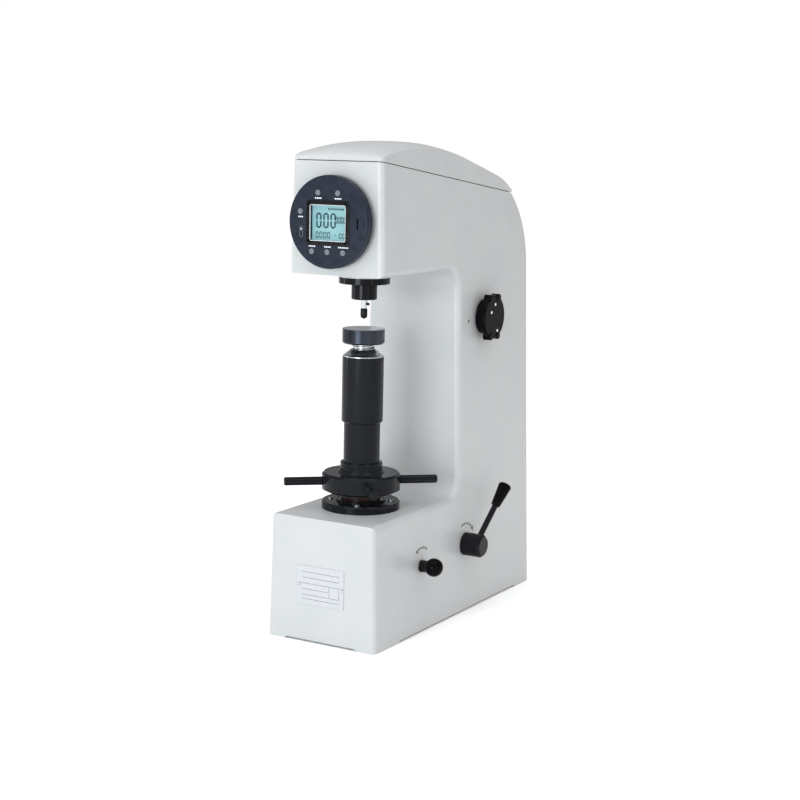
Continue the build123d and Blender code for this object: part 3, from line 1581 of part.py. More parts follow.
guide_y = (bar_front + bar_back) / 2
guide_wall = 6.0
guide_depth = 14.0
guide_gap = 0.25
with BuildPart() as latch_guide:
    with BuildSketch(Plane.XZ.offset(-guide_y)):
        with BuildLine():
            Polyline(
                (latch_x - latch_width / 2 - guide_wall, trigger_z + latch_arm - bar_half - guide_wall),
                (latch_x + latch_width / 2 + guide_wall, trigger_z + latch_arm - bar_half - guide_wall),
                (latch_x + latch_width / 2 + guide_wall, base_height - base_plate),
                (latch_x - latch_width / 2 - guide_wall, base_height - base_plate),
                close=True,
            )
        make_face()
        with Locations((latch_x, trigger_z + latch_arm)):
            Rectangle(latch_width + 2 * guide_gap, 2 * (bar_half + guide_gap), mode=Mode.SUBTRACT)
    extrude(amount=guide_depth / 2, both=True)
latch_guide.part.label = "latch_guide"
export_step(latch_guide.part, "parts/latch_guide.step")

ball_x = trigger_face + ball_offset[0]
ball_y = trigger_y + ball_offset[1]
ball_z = trigger_z + ball_offset[2]
stem_start = Vector(trigger_start + trigger_hub_height * 0.6, trigger_y, trigger_z)
ball_centre = Vector(ball_x, ball_y, ball_z)
stem_way = Plane(origin=stem_start, z_dir=ball_centre - stem_start)
stem_length = (ball_centre - stem_start).length
stem_radius = 3.6
with BuildPart() as trigger_lever:
    with BuildSketch(Plane.YZ.offset(trigger_start)):
        with Locations((trigger_y, trigger_z)):
            Circle(trigger_hub_radius)
    extrude(amount=trigger_hub_height)
    chamfer(trigger_lever.faces().sort_by(Axis.X)[-1].edges(), 1.5)
    with BuildSketch(stem_way):
        Circle(stem_radius)
    extrude(amount=stem_length - ball_radius * 0.45)
    with BuildSketch(Plane.YZ.offset(trigger_start)):
        with Locations((trigger_y, trigger_z)):
            Circle(trigger_shaft_radius + screw_slack)
    extrude(amount=trigger_hub_height - 4.0, mode=Mode.SUBTRACT)
trigger_lever.part.label = "trigger_lever"
export_step(trigger_lever.part, "parts/trigger_lever.step")

with BuildPart() as trigger_ball:
    with Locations(ball_centre):
        Sphere(ball_radius)
    with BuildSketch(stem_way):
        Circle(stem_radius + screw_slack)
    extrude(amount=stem_length - ball_radius * 0.45 + 0.2, mode=Mode.SUBTRACT)
    with BuildSketch(stem_way):
        Circle(ball_radius)
    extrude(amount=stem_length - ball_radius * 0.93, mode=Mode.SUBTRACT)
trigger_ball.part.label = "trigger_ball"
export_step(trigger_ball.part, "parts/trigger_ball.step")

# ---- force selector ------------------------------------------------------------------------------
knob_face = half_width(knob_z)
selector_inner = 50.0
cam_shaft_end = 26.0
with BuildPart() as selector_bush:
    with BuildSketch(Plane.YZ.offset(selector_inner)):
        with Locations((knob_y, knob_z)):
            Circle(selector_bush_radius - screw_slack)
            Circle(selector_shaft_radius + screw_slack, mode=Mode.SUBTRACT)
    extrude(amount=knob_face - 1.0 - selector_inner)
selector_bush.part.label = "selector_bush"
export_step(selector_bush.part, "parts/selector_bush.step")

knob_start = half_width(knob_z - lobe_circle - lobe_radius) + wall_gap
with BuildPart() as selector_shaft:
    with BuildSketch(Plane.YZ.offset(cam_shaft_end)):
        with Locations((knob_y, knob_z)):
            Circle(selector_shaft_radius)
    extrude(amount=knob_start + knob_height - 3.0 - cam_shaft_end)
selector_shaft.part.label = "selector_shaft"
export_step(selector_shaft.part, "parts/selector_shaft.step")

selector_steps = [10.0, 13.0, 16.0]
with BuildPart() as selector_cam:
    with BuildSketch(Plane.YZ.offset(selector_inner - 12.0)):
        with Locations((knob_y, knob_z)):
            Circle(selector_steps[0])
        for step, radius in enumerate(selector_steps[1:], start=1):
            with Locations((knob_y, knob_z)):
                with PolarLocations(radius / 2, 1, start_angle=90.0 * step):
                    SlotCenterToCenter(radius, radius * 0.9)
        with Locations((knob_y, knob_z)):
            Circle(selector_shaft_radius + screw_slack, mode=Mode.SUBTRACT)
    extrude(amount=10.0)
selector_cam.part.label = "selector_cam"
export_step(selector_cam.part, "parts/selector_cam.step")

lobe_places = []
for middle in (90.0, 270.0):
    for side in (-lobe_spread, lobe_spread):
        lobe_angle = radians(middle + side)
        lobe_places.append((knob_y + lobe_circle * cos(lobe_angle), knob_z + lobe_circle * sin(lobe_angle)))
with BuildPart() as selector_knob:
    with BuildSketch(Plane.YZ.offset(knob_start)):
        with Locations((knob_y, knob_z)):
            Circle(knob_collar_radius)
    extrude(amount=knob_height)
    with BuildSketch(Plane.YZ.offset(knob_start + knob_collar_height)):
        with Locations((knob_y, knob_z)):
            Circle(knob_radius)
    extrude(amount=knob_height - knob_collar_height)
    fillet(selector_knob.faces().sort_by(Axis.X)[-1].edges(), knob_edge)
    with BuildSketch(Plane.YZ.offset(knob_start + lobe_start)):
        with Locations(*lobe_places):
            Circle(lobe_radius)
    extrude(amount=lobe_end - lobe_start)
    lobe_tips = selector_knob.faces().sort_by(Axis.X)[-4:]
    fillet(lobe_tips.edges(), knob_edge / 2)
    with BuildSketch(Plane.YZ.offset(knob_start)):
        with Locations((knob_y, knob_z)):
            Circle(selector_shaft_radius + screw_slack)
    extrude(amount=knob_height - 2.5, mode=Mode.SUBTRACT)
selector_knob.part.label = "selector_knob"
export_step(selector_knob.part, "parts/selector_knob.step")
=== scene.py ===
# %% [markdown]
# # A bench hardness tester
#
# The frame below is the finished, measured model: every casting, bush, screw and button at its real
# place in metres. This lesson dresses it. Finishes are made from shader nodes, and what is too fine
# for the measured model, such as a thread, a printed mark or a lit digit, is modelled here and
# carried by the body it belongs to.

# %% Load the frame
import math

import bmesh
import bpy
from mathutils import Matrix, Vector


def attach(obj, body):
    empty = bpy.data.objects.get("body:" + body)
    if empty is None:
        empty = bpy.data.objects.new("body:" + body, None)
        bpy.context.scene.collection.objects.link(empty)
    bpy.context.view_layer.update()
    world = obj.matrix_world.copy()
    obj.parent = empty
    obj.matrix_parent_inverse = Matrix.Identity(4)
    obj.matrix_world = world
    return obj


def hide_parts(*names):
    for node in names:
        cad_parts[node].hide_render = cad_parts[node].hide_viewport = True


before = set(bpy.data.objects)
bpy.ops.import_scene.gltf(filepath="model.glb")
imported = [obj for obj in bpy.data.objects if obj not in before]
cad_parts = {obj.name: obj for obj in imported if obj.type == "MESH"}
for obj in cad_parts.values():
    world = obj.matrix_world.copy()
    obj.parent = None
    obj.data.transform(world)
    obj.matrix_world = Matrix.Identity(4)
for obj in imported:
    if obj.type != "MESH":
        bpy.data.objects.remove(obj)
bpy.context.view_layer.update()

# %% [markdown]
# ## The camera
#
# A long lens keeps upright edges nearly parallel, which suits a tall machine. The camera stands a
# little to the operator's right and above the head, so that the front, the control side and just
# the edge of the top are seen. Its turn is built from three plain rotations, because each of them
# can then be read and changed alone.

# %% Camera
camera_place = Vector((1.1863, -1.9397, 0.6871))
camera_yaw = 30.13
camera_pitch = -8.97
camera_roll = 1.20
camera_lens = 74.30
sensor_width = 36.0

turn = Matrix.Rotation(math.radians(camera_yaw), 4, "Z")
lift = Matrix.Rotation(math.radians(90.0 + camera_pitch), 4, "X")
roll = Matrix.Rotation(math.radians(camera_roll), 4, "Z")
camera_data = bpy.data.cameras.new("camera")
camera_data.sensor_fit = "HORIZONTAL"
camera_data.sensor_width = sensor_width
camera_data.lens = camera_lens
camera_data.clip_end = 50.0
camera = bpy.data.objects.new("camera", camera_data)
camera.matrix_world = Matrix.Translation(camera_place) @ turn @ lift @ roll
bpy.context.collection.objects.link(camera)
bpy.context.scene.camera = camera
print("camera", round(camera_lens, 1), "mm, turned", camera_yaw, "degrees")

# %% [markdown]
# ## Floor and light
#
# A white machine on a white floor is drawn by its soft shadows. A bright world lights it evenly, a
# softbox ahead of it makes the front the brightest face, a wide one above lights the floor, and a
# narrow strip at each side draws a line of light along the black turned parts. In reflections the
# world is dimmer, or every glossy black part would look grey. The control side falls a shade lower
# than the front. The floor has no gloss, so it stays plain from every side.

# %% Floor
floor_half = 6.0
floor_white = (0.985, 0.985, 0.985, 1.0)

floor_mesh = bpy.data.meshes.new("floor")
bm = bmesh.new()
bmesh.ops.create_grid(bm, x_segments=1, y_segments=1, size=floor_half)
bm.to_mesh(floor_mesh)
bm.free()
floor = bpy.data.objects.new("floor", floor_mesh)
bpy.context.collection.objects.link(floor)
floor_finish = bpy.data.materials.new("floor_finish")
floor_finish.use_nodes = True
floor_shader = floor_finish.node_tree.nodes["Principled BSDF"]
floor_shader.inputs["Base Color"].default_value = floor_white
floor_shader.inputs["Roughness"].default_value = 0.60
floor_shader.inputs["Specular IOR Level"].default_value = 0.0
floor.data.materials.append(floor_finish)
print("floor", 2 * floor_half, "m across")

# %% World and softboxes
world_level = 1.0
reflected_level = 0.38

world = bpy.data.worlds.new("studio")
world.use_nodes = True
backdrop = world.node_tree.nodes["Background"]
backdrop.inputs["Color"].default_value = (1.0, 1.0, 1.0, 1.0)
ray = world.node_tree.nodes.new("ShaderNodeLightPath")
level = world.node_tree.nodes.new("ShaderNodeMapRange")
level.inputs["To Min"].default_value = world_level
level.inputs["To Max"].default_value = reflected_level
world.node_tree.links.new(ray.outputs["Is Glossy Ray"], level.inputs["Value"])
world.node_tree.links.new(level.outputs["Result"], backdrop.inputs["Strength"])
bpy.context.scene.world = world
bpy.context.scene.view_settings.view_transform = "Standard"


def softbox(name, place, target, size, power, tint):
    """Adds an area light at place, facing target."""
    light = bpy.data.lights.new(name, "AREA")
    light.shape = "RECTANGLE"
    light.size, light.size_y = size
    light.energy = power
    light.color = tint
    lamp = bpy.data.objects.new(name, light)
    aim = (Vector(target) - Vector(place)).to_track_quat("-Z", "Y").to_matrix().to_4x4()
    lamp.matrix_world = Matrix.Translation(place) @ aim
    bpy.context.collection.objects.link(lamp)
    print("softbox", name, size, "m,", power, "W")


softbox("key_light", (0.1, -3.4, 0.7), (0.0, 0.0, 0.35), (1.3, 1.3), 62.0, (0.86, 0.95, 1.0))
softbox("top_light", (0.2, -0.6, 3.0), (0.0, 0.0, 0.0), (3.0, 3.0), 44.0, (0.97, 0.99, 1.0))
softbox("left_strip", (-2.3, -0.9, 0.9), (0.0, 0.0, 0.35), (0.20, 1.8), 9.0, (0.95, 0.98, 1.0))
softbox("right_strip", (2.6, -1.2, 0.8), (0.0, 0.0, 0.35), (0.14, 1.6), 3.0, (1.0, 0.99, 0.98))

# %% [markdown]
# ## A finish made of layers
#
# No real surface is one flat colour. Paint has a faint orange peel, turned steel has tool marks, a
# moulding has a fine grain. All of them can be made from the same three layers: a colour that
# wanders a little between two shades, a roughness that wanders with it, and a shallow relief. The
# pattern is read in Object coordinates, in metres, so it keeps its size on every part and stays in
# place when the part moves.

# %% The start of every finish
def new_finish(name, metallic=0.0, specular=0.5):
    """Makes a named material with its uniform values set on the shader's own sockets."""
    finish = bpy.data.materials.new(name)
    finish.use_nodes = True
    shader = finish.node_tree.nodes["Principled BSDF"]
    shader.inputs["Metallic"].default_value = metallic
    shader.inputs["Specular IOR Level"].default_value = specular
    return finish, shader


def node(finish, kind, **settings):
    """Adds one node to a finish and sets its options."""
    made = finish.node_tree.nodes.new(kind)
    for option, value in settings.items():
        setattr(made, option, value)
    return made


def join(finish, source, target):
    """Links an output to an input."""
    finish.node_tree.links.new(source, target)


def shades(finish, pattern, target, first, second, low=0.3, high=0.7):
    """Colours target by pattern, from the first shade to the second."""
    ramp = node(finish, "ShaderNodeValToRGB")
    ramp.color_ramp.elements[0].position = low
    ramp.color_ramp.elements[0].color = (*first, 1.0)
    ramp.color_ramp.elements[1].position = high
    ramp.color_ramp.elements[1].color = (*second, 1.0)
    join(finish, pattern, ramp.inputs["Fac"])
    join(finish, ramp.outputs["Color"], target)


def spread(finish, pattern, target, low, high):
    """Drives target between two values by pattern."""
    reach = node(finish, "ShaderNodeMapRange")
    reach.inputs["From Min"].default_value = 0.3
    reach.inputs["From Max"].default_value = 0.7
    reach.inputs["To Min"].default_value = low
    reach.inputs["To Max"].default_value = high
    join(finish, pattern, reach.inputs["Value"])
    join(finish, reach.outputs["Result"], target)


def relief(finish, shader, pattern, depth):
    """Raises the surface by pattern, depth in metres."""
    bump = node(finish, "ShaderNodeBump")
    bump.inputs["Strength"].default_value = 1.0
    bump.inputs["Distance"].default_value = depth
    join(finish, pattern, bump.inputs["Height"])
    join(finish, bump.outputs["Normal"], shader.inputs["Normal"])


# %% [markdown]
# ## Patterns
#
# Three patterns serve the whole machine. A cloud is plain noise. A brushed pattern is the same
# noise pulled long in one direction. A turned pattern has to follow a lathe's tool: its lines lie
# at equal distance from the axis on a face and at equal height on a side, so it is a
# one-dimensional noise that reads the distance from the axis plus the distance along it.

# %% Cloud, brushed and turned patterns
def object_place(finish, centre=(0.0, 0.0, 0.0), turn_by=(0.0, 0.0, 0.0), stretch=(1.0, 1.0, 1.0)):
    """Gives Object coordinates, moved so that centre is their origin, then turned and stretched."""
    coordinates = node(finish, "ShaderNodeTexCoord")
    shift = node(finish, "ShaderNodeMapping")
    shift.inputs["Location"].default_value = [-c for c in centre]
    aim = node(finish, "ShaderNodeMapping")
    aim.inputs["Rotation"].default_value = [math.radians(a) for a in turn_by]
    aim.inputs["Scale"].default_value = stretch
    join(finish, coordinates.outputs["Object"], shift.inputs["Vector"])
    join(finish, shift.outputs["Vector"], aim.inputs["Vector"])
    return aim.outputs["Vector"]


def cloud(finish, per_metre, detail=3.0, **place):
    """Makes noise with about per_metre blobs to the metre."""
    noise = node(finish, "ShaderNodeTexNoise")
    noise.inputs["Scale"].default_value = per_metre
    noise.inputs["Detail"].default_value = detail
    join(finish, object_place(finish, **place), noise.inputs["Vector"])
    return noise.outputs["Fac"]


def turned_lines(finish, per_metre, centre=(0.0, 0.0, 0.0), turn_by=(0.0, 0.0, 0.0)):
    """Makes noise that follows a lathe's tool round the Z axis through centre, once turned."""
    split = node(finish, "ShaderNodeSeparateXYZ")
    join(finish, object_place(finish, centre, turn_by), split.inputs["Vector"])
    across = node(finish, "ShaderNodeCombineXYZ")
    join(finish, split.outputs["X"], across.inputs["X"])
    join(finish, split.outputs["Y"], across.inputs["Y"])
    reach = node(finish, "ShaderNodeVectorMath", operation="LENGTH")
    join(finish, across.outputs["Vector"], reach.inputs[0])
    along = node(finish, "ShaderNodeMath", operation="ADD")
    join(finish, reach.outputs["Value"], along.inputs[0])
    join(finish, split.outputs["Z"], along.inputs[1])
    lines = node(finish, "ShaderNodeTexNoise", noise_dimensions="1D")
    lines.inputs["Scale"].default_value = per_metre
    lines.inputs["Detail"].default_value = 4.0
    join(finish, along.outputs["Value"], lines.inputs["W"])
    return lines.outputs["Fac"]


# %% [markdown]
# ## Satin paint on cast iron
#
# The castings are filled, rubbed down and sprayed, so the paint is even but never glass-flat: a
# faint peel of about two millimetres breaks up the highlights, and broad clouds of slightly warmer
# and cooler white keep the large sides from looking like card. A stronger relief would look like a
# wall, so its depth is only a few hundredths of a millimetre.

# %% White paint
def layered(name, scale, first, second, rough, depth, metallic=0.0, specular=0.5, fine=8.0):
    """Makes a finish with a cloud for its shades and roughness and a finer one for its relief."""
    finish, shader = new_finish(name, metallic, specular)
    broad = cloud(finish, scale)
    shades(finish, broad, shader.inputs["Base Color"], first, second)
    spread(finish, broad, shader.inputs["Roughness"], *rough)
    relief(finish, shader, cloud(finish, scale * fine, detail=2.0), depth)
    return finish


cool_white = (0.400, 0.407, 0.414)
warm_white = (0.426, 0.432, 0.436)
white_paint = layered(
    "white_paint", 14.0, cool_white, warm_white, (0.30, 0.40), 0.00003, fine=30.0
)
print("paint", white_paint.name, "with", len(white_paint.node_tree.nodes), "nodes")

# %% [markdown]
# ## Blackened and bright steel
#
# The wheel, the sleeves and the flanges are turned, then blackened: nearly black, quite glossy,
# with the tool's fine rings showing in the highlights. The anvil, the screw and the nose of the
# spindle are ground bright. Parts turned about the screw axis share one pattern. The steel parts of
# the side shafts and of the load train get the same pattern laid along X about the load shaft's
# axis, and only the trigger lever has it about its own shaft.

# %% Turned steels
tool_lines = 2600.0  # to the metre


def turned_finish(name, first, second, rough, depth, metallic=1.0, specular=0.5, **axis):
    """Makes a finish whose colour, roughness and relief all follow the same lathe lines."""
    finish, shader = new_finish(name, metallic, specular)
    lines = turned_lines(finish, tool_lines, **axis)
    shades(finish, lines, shader.inputs["Base Color"], first, second)
    spread(finish, lines, shader.inputs["Roughness"], *rough)
    relief(finish, shader, lines, depth)
    return finish


side_axis = (0.0, 90.0, 0.0)
load_y, load_z = 0.157, 0.102
trigger_y, trigger_z = 0.028, 0.096
load_axle = {"centre": (0.0, load_y, load_z), "turn_by": side_axis}
trigger_axle = {"centre": (0.0, trigger_y, trigger_z), "turn_by": side_axis}
blacked, blacked_worn = (0.005, 0.005, 0.006), (0.012, 0.012, 0.014)

black_steel = turned_finish(
    "black_steel", (0.005, 0.0055, 0.007), (0.011, 0.012, 0.014), (0.07, 0.14), 0.000004,
    metallic=0.0, specular=0.09,
)
race_steel = turned_finish(
    "race_steel", (0.010, 0.005, 0.004), (0.026, 0.013, 0.011), (0.18, 0.30), 0.000006,
    metallic=0.3, specular=0.2,
)
ground_steel = turned_finish(
    "ground_steel", (0.42, 0.43, 0.44), (0.58, 0.59, 0.60), (0.18, 0.32), 0.000010
)
nose_black = turned_finish(
    "nose_black", (0.004, 0.004, 0.005), (0.009, 0.009, 0.011), (0.10, 0.18), 0.000004,
    metallic=0.0, specular=0.11,
)
load_steel = turned_finish(
    "load_steel", (0.40, 0.41, 0.42), (0.60, 0.61, 0.62), (0.22, 0.36), 0.000010, **load_axle
)
load_black = turned_finish(
    "load_black", blacked, blacked_worn, (0.14, 0.24), 0.000008,
    metallic=0.0, specular=0.09, **load_axle,
)
trigger_black = turned_finish(
    "trigger_black", blacked, blacked_worn, (0.10, 0.20), 0.000008,
    metallic=0.0, specular=0.09, **trigger_axle,
)
bush_bronze = layered(
    "bush_bronze", 60.0, (0.34, 0.22, 0.09), (0.50, 0.35, 0.16), (0.28, 0.42), 0.000010,
    metallic=1.0,
)
print("steels", [m.name for m in bpy.data.materials if "steel" in m.name or "black" in m.name])

# %% [markdown]
# ## The anvil
#
# The anvil's side is blued and streaked down its height, and its top is ground bright. One finish
# carries both: the height above the bench decides between the two colours, over less than a
# millimetre at the upper edge.

# %% Blued side and ground top
bluing_dark = (0.016, 0.018, 0.025, 1.0)
bluing_light = (0.080, 0.088, 0.105, 1.0)
ground_top = (0.62, 0.64, 0.66, 1.0)
top_from, top_to = 0.4272, 0.4279

anvil_steel, anvil_shader = new_finish("anvil_steel", 1.0)
anvil_lines = turned_lines(anvil_steel, tool_lines)
streaks = cloud(anvil_steel, 26.0, detail=2.0, stretch=(1.0, 1.0, 0.1))
both = node(anvil_steel, "ShaderNodeMath", operation="MULTIPLY_ADD")
join(anvil_steel, anvil_lines, both.inputs[0])
both.inputs[1].default_value = 0.35
join(anvil_steel, streaks, both.inputs[2])
side_ramp = node(anvil_steel, "ShaderNodeValToRGB")
side_ramp.color_ramp.elements[0].position = 0.55
side_ramp.color_ramp.elements[0].color = bluing_dark
side_ramp.color_ramp.elements[1].position = 0.85
side_ramp.color_ramp.elements[1].color = bluing_light
join(anvil_steel, both.outputs[0], side_ramp.inputs["Fac"])
height = node(anvil_steel, "ShaderNodeSeparateXYZ")
join(anvil_steel, object_place(anvil_steel), height.inputs["Vector"])
at_top = node(anvil_steel, "ShaderNodeMapRange")
at_top.inputs["From Min"].default_value = top_from
at_top.inputs["From Max"].default_value = top_to
join(anvil_steel, height.outputs["Z"], at_top.inputs["Value"])
ground = node(anvil_steel, "ShaderNodeMix", data_type="RGBA")
join(anvil_steel, at_top.outputs["Result"], ground.inputs["Factor"])
join(anvil_steel, side_ramp.outputs["Color"], ground.inputs[6])
ground.inputs[7].default_value = ground_top
join(anvil_steel, ground.outputs[2], anvil_shader.inputs["Base Color"])
spread(anvil_steel, anvil_lines, anvil_shader.inputs["Roughness"], 0.20, 0.36)
relief(anvil_steel, anvil_shader, anvil_lines, 0.000012)
print("anvil_steel with", len(anvil_steel.node_tree.nodes), "nodes")

# %% [markdown]
# ## The rest of the finishes
#
# The inside is plainer: machined cast iron, zinc-plated screws and a rolled aluminium plate. The
# gauge is a fine-grained moulding, dark with a hint of blue, and the knob, the grip and the ball
# are glossy phenolic, in which only the gloss and a few broad waves show.

# %% Iron, screws and mouldings
fine_relief = 0.00001
ink_relief = 0.000005

cast_grey = layered(
    "cast_grey", 90.0, (0.110, 0.115, 0.120), (0.165, 0.170, 0.175), (0.50, 0.68), 0.00006,
    metallic=0.4,
)
zinc = layered(
    "zinc", 220.0, (0.46, 0.47, 0.48), (0.62, 0.63, 0.64), (0.24, 0.42), fine_relief,
    metallic=1.0,
)
screw_black = layered(
    "screw_black", 240.0, (0.022, 0.022, 0.024), (0.046, 0.046, 0.050), (0.30, 0.46), fine_relief,
    metallic=0.7,
)
guide_screw = layered(
    "guide_screw", 240.0, (0.34, 0.35, 0.36), (0.52, 0.53, 0.54), (0.24, 0.40), fine_relief,
    metallic=1.0,
)
gauge_moulding = layered(
    "gauge_moulding", 120.0, (0.008, 0.012, 0.022), (0.013, 0.017, 0.029), (0.36, 0.48), 0.00002,
    specular=0.18, fine=14.0,
)
bezel_moulding = layered(
    "bezel_moulding", 160.0, (0.003, 0.003, 0.004), (0.006, 0.006, 0.007), (0.24, 0.36),
    fine_relief, specular=0.2, fine=10.0,
)
button_grey = layered(
    "button_grey", 300.0, (0.085, 0.100, 0.118), (0.120, 0.138, 0.158), (0.34, 0.48), fine_relief
)
phenolic = layered(
    "phenolic", 40.0, (0.0020, 0.0020, 0.0025), (0.0045, 0.0045, 0.0055), (0.04, 0.09), 0.000006,
    specular=0.035, fine=5.0,
)
lamp_white = layered(
    "lamp_white", 500.0, (0.24, 0.26, 0.29), (0.38, 0.40, 0.43), (0.24, 0.36), ink_relief
)
silver_line = layered(
    "silver_line", 400.0, (0.46, 0.48, 0.51), (0.60, 0.62, 0.65), (0.26, 0.38), ink_relief
)

# %% Inks
white_print = layered(
    "white_print", 900.0, (0.66, 0.70, 0.74), (0.80, 0.83, 0.86), (0.42, 0.56), ink_relief
)
grey_print = layered(
    "grey_print", 900.0, (0.055, 0.057, 0.060), (0.095, 0.098, 0.102), (0.46, 0.60), ink_relief
)
display_ink = layered(
    "display_ink", 900.0, (0.010, 0.028, 0.042), (0.022, 0.046, 0.062), (0.40, 0.55), 0.000003,
    specular=0.2,
)

# %% Rolled aluminium of the plate
plate_metal, plate_shader = new_finish("plate_metal", 0.2)
brushing = cloud(plate_metal, 60.0, detail=4.0, stretch=(1.0, 1.0, 60.0))
plate_dark, plate_light = (0.41, 0.42, 0.44), (0.47, 0.48, 0.50)
shades(plate_metal, brushing, plate_shader.inputs["Base Color"], plate_dark, plate_light)
spread(plate_metal, brushing, plate_shader.inputs["Roughness"], 0.30, 0.44)
relief(plate_metal, plate_shader, brushing, 0.000008)
print("plate_metal with", len(plate_metal.node_tree.nodes), "nodes")

# %% [markdown]
# ## The lit display
#
# The panel gives a little light of its own, so it keeps its pale green blue in the shade of the
# bezel. The window over it is nearly clear: a low alpha and a dark base add no veil of their own,
# and only its gloss is seen.

# %% Display panel and window
display_glow, display_shader = new_finish("display_glow")
display_cloud = cloud(display_glow, 22.0, detail=1.0)
panel_deep, panel_pale = (0.17, 0.34, 0.36), (0.23, 0.41, 0.43)
shades(display_glow, display_cloud, display_shader.inputs["Base Color"], panel_deep, panel_pale)
display_shader.inputs["Emission Color"].default_value = (0.26, 0.50, 0.54, 1.0)
display_shader.inputs["Emission Strength"].default_value = 0.26
display_shader.inputs["Roughness"].default_value = 0.35
relief(display_glow, display_shader, cloud(display_glow, 2600.0), 0.000004)

window_clear, window_shader = new_finish("window_clear")
window_shader.inputs["Alpha"].default_value = 0.08
window_haze = cloud(window_clear, 30.0, detail=1.0)
haze_dark, haze_light = (0.02, 0.05, 0.06), (0.04, 0.08, 0.09)
shades(window_clear, window_haze, window_shader.inputs["Base Color"], haze_dark, haze_light)
spread(window_clear, window_haze, window_shader.inputs["Roughness"], 0.02, 0.06)
print("finishes", len(bpy.data.materials))

# %% [markdown]
# ## Dressing the measured parts
#
# Each measured part has one slot. A plain table of finish and parts is easier to read and to check
# than a rule that guesses from names, and the count at the end shows that no part was forgotten.

# %% One finish for each part
dressing = [
    (white_paint, ["frame_casting", "top_cover", "rear_cover"]),
    (zinc, ["cover_screws", "name_plate_rivets"]),
    (plate_metal, ["name_plate"]),
    (black_steel, ["guide_flange", "upper_sleeve", "lower_sleeve", "handwheel", "handwheel_rods"]),
    (race_steel, ["thrust_bearing"]),
    (nose_black, ["spindle_flange", "indenter"]),
    (ground_steel, ["elevating_screw", "screw_ring", "spindle"]),
    (anvil_steel, ["anvil"]),
    (guide_screw, ["flange_screws"]),
    (screw_black, ["indenter_screw", "latch_bar", "latch_guide"]),
    (bush_bronze, ["spindle_bush", "guide_bush", "load_bush", "trigger_bush", "selector_bush"]),
    (gauge_moulding, ["gauge_body", "gauge_faceplate"]),
    (display_glow, ["gauge_display"]),
    (window_clear, ["gauge_window"]),
    (lamp_white, ["status_led"]),
    (button_grey, [f"gauge_button_{number}" for number in range(1, 7)]),
    (cast_grey, ["main_lever", "fulcrum_bracket", "dashpot_cylinder", "dashpot_piston"]),
    (cast_grey, ["weight_lower", "weight_middle", "weight_upper"]),
    (load_steel, ["load_shaft", "load_cam", "knife_edges", "piston_rod", "weight_hanger"]),
    (load_steel, ["trigger_shaft", "trigger_arm", "selector_shaft", "selector_cam"]),
    (load_black, ["load_hub", "load_rod"]),
    (trigger_black, ["trigger_lever"]),
    (phenolic, ["load_grip", "trigger_ball", "selector_knob"]),
]
dressed = set()
for finish, parts in dressing:
    for part in parts:
        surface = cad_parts[part].data
        surface.materials.clear()
        surface.materials.append(finish)
        dressed.add(part)
left = sorted(set(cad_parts) - dressed)
print("dressed", len(dressed), "of", len(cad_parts), "left", left)

# %% [markdown]
# ## Making a new piece
#
# Every piece below starts as a bmesh, is shaped by operators and is finished in the same way: its
# doubles are merged, its faces are turned outward, and it is handed to the body that carries it.
# Its object stays at the origin, so its place is in its mesh, as it is for the measured parts.

# %% From a bmesh to a piece
def finished_piece(name, bm, finish, body, smooth_below=35.0):
    """Writes a bmesh to an object at the origin, carried by body, with a finish."""
    bmesh.ops.remove_doubles(bm, verts=bm.verts, dist=1e-6)
    bmesh.ops.recalc_face_normals(bm, faces=bm.faces)
    mesh = bpy.data.meshes.new(name)
    bm.to_mesh(mesh)
    bm.free()
    mesh.materials.append(finish)
    mesh.shade_smooth()
    mesh.set_sharp_from_angle(angle=math.radians(smooth_below))
    piece = bpy.data.objects.new(name, mesh)
    bpy.context.collection.objects.link(piece)
    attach(piece, body)
    print(name, len(mesh.polygons), "faces, on", body)
    return piece


def bar(bm, centre, size):
    """Adds a bar of a size to a bmesh, at centre."""
    place = Matrix.Translation(centre) @ Matrix.Diagonal((*size, 1.0))
    return bmesh.ops.create_cube(bm, size=1.0, matrix=place)["verts"]


# %% [markdown]
# ## The elevating screw
#
# Between the anvil and the sleeves a short neck of the screw shows its thread, and from below its
# end does. The measured screw is plain. A thread is one tooth's profile swept along a helix, and
# the spin operator does that when it is also given a rise per step: after a full turn the
# profile's foot meets its own top, so merging the doubles closes the surface. Two cuts across the
# axis then give it flat ends.

# %% Thread with a helical spin
screw_radius = 0.0160
screw_pitch = 0.0060
tooth_depth = 0.0022
screw_low, screw_high = 0.1180, 0.4068
spigot_radius, spigot_length = 0.0090, 0.0130
spigot_rise = 0.0064
turn_steps = 36
screw_turns = math.ceil((screw_high - screw_low) / screw_pitch) + 2

bm = bmesh.new()
start = screw_low - 1.5 * screw_pitch
profile = [
    (screw_radius - tooth_depth, 0.0),
    (screw_radius - tooth_depth, 0.16),
    (screw_radius - 0.0002, 0.42),
    (screw_radius, 0.46),
    (screw_radius, 0.64),
    (screw_radius - 0.0002, 0.68),
    (screw_radius - tooth_depth, 0.94),
    (screw_radius - tooth_depth, 1.0),
]
tooth = [bm.verts.new((reach, 0.0, start + share * screw_pitch)) for reach, share in profile]
tooth_edges = [bm.edges.new(pair) for pair in zip(tooth, tooth[1:])]
bmesh.ops.spin(
    bm,
    geom=tooth + tooth_edges,
    cent=(0.0, 0.0, 0.0),
    axis=(0.0, 0.0, 1.0),
    dvec=(0.0, 0.0, screw_pitch / turn_steps),
    angle=2.0 * math.pi * screw_turns,
    steps=turn_steps * screw_turns,
    use_merge=False,
    use_duplicate=False,
)
bmesh.ops.remove_doubles(bm, verts=bm.verts, dist=2e-5)
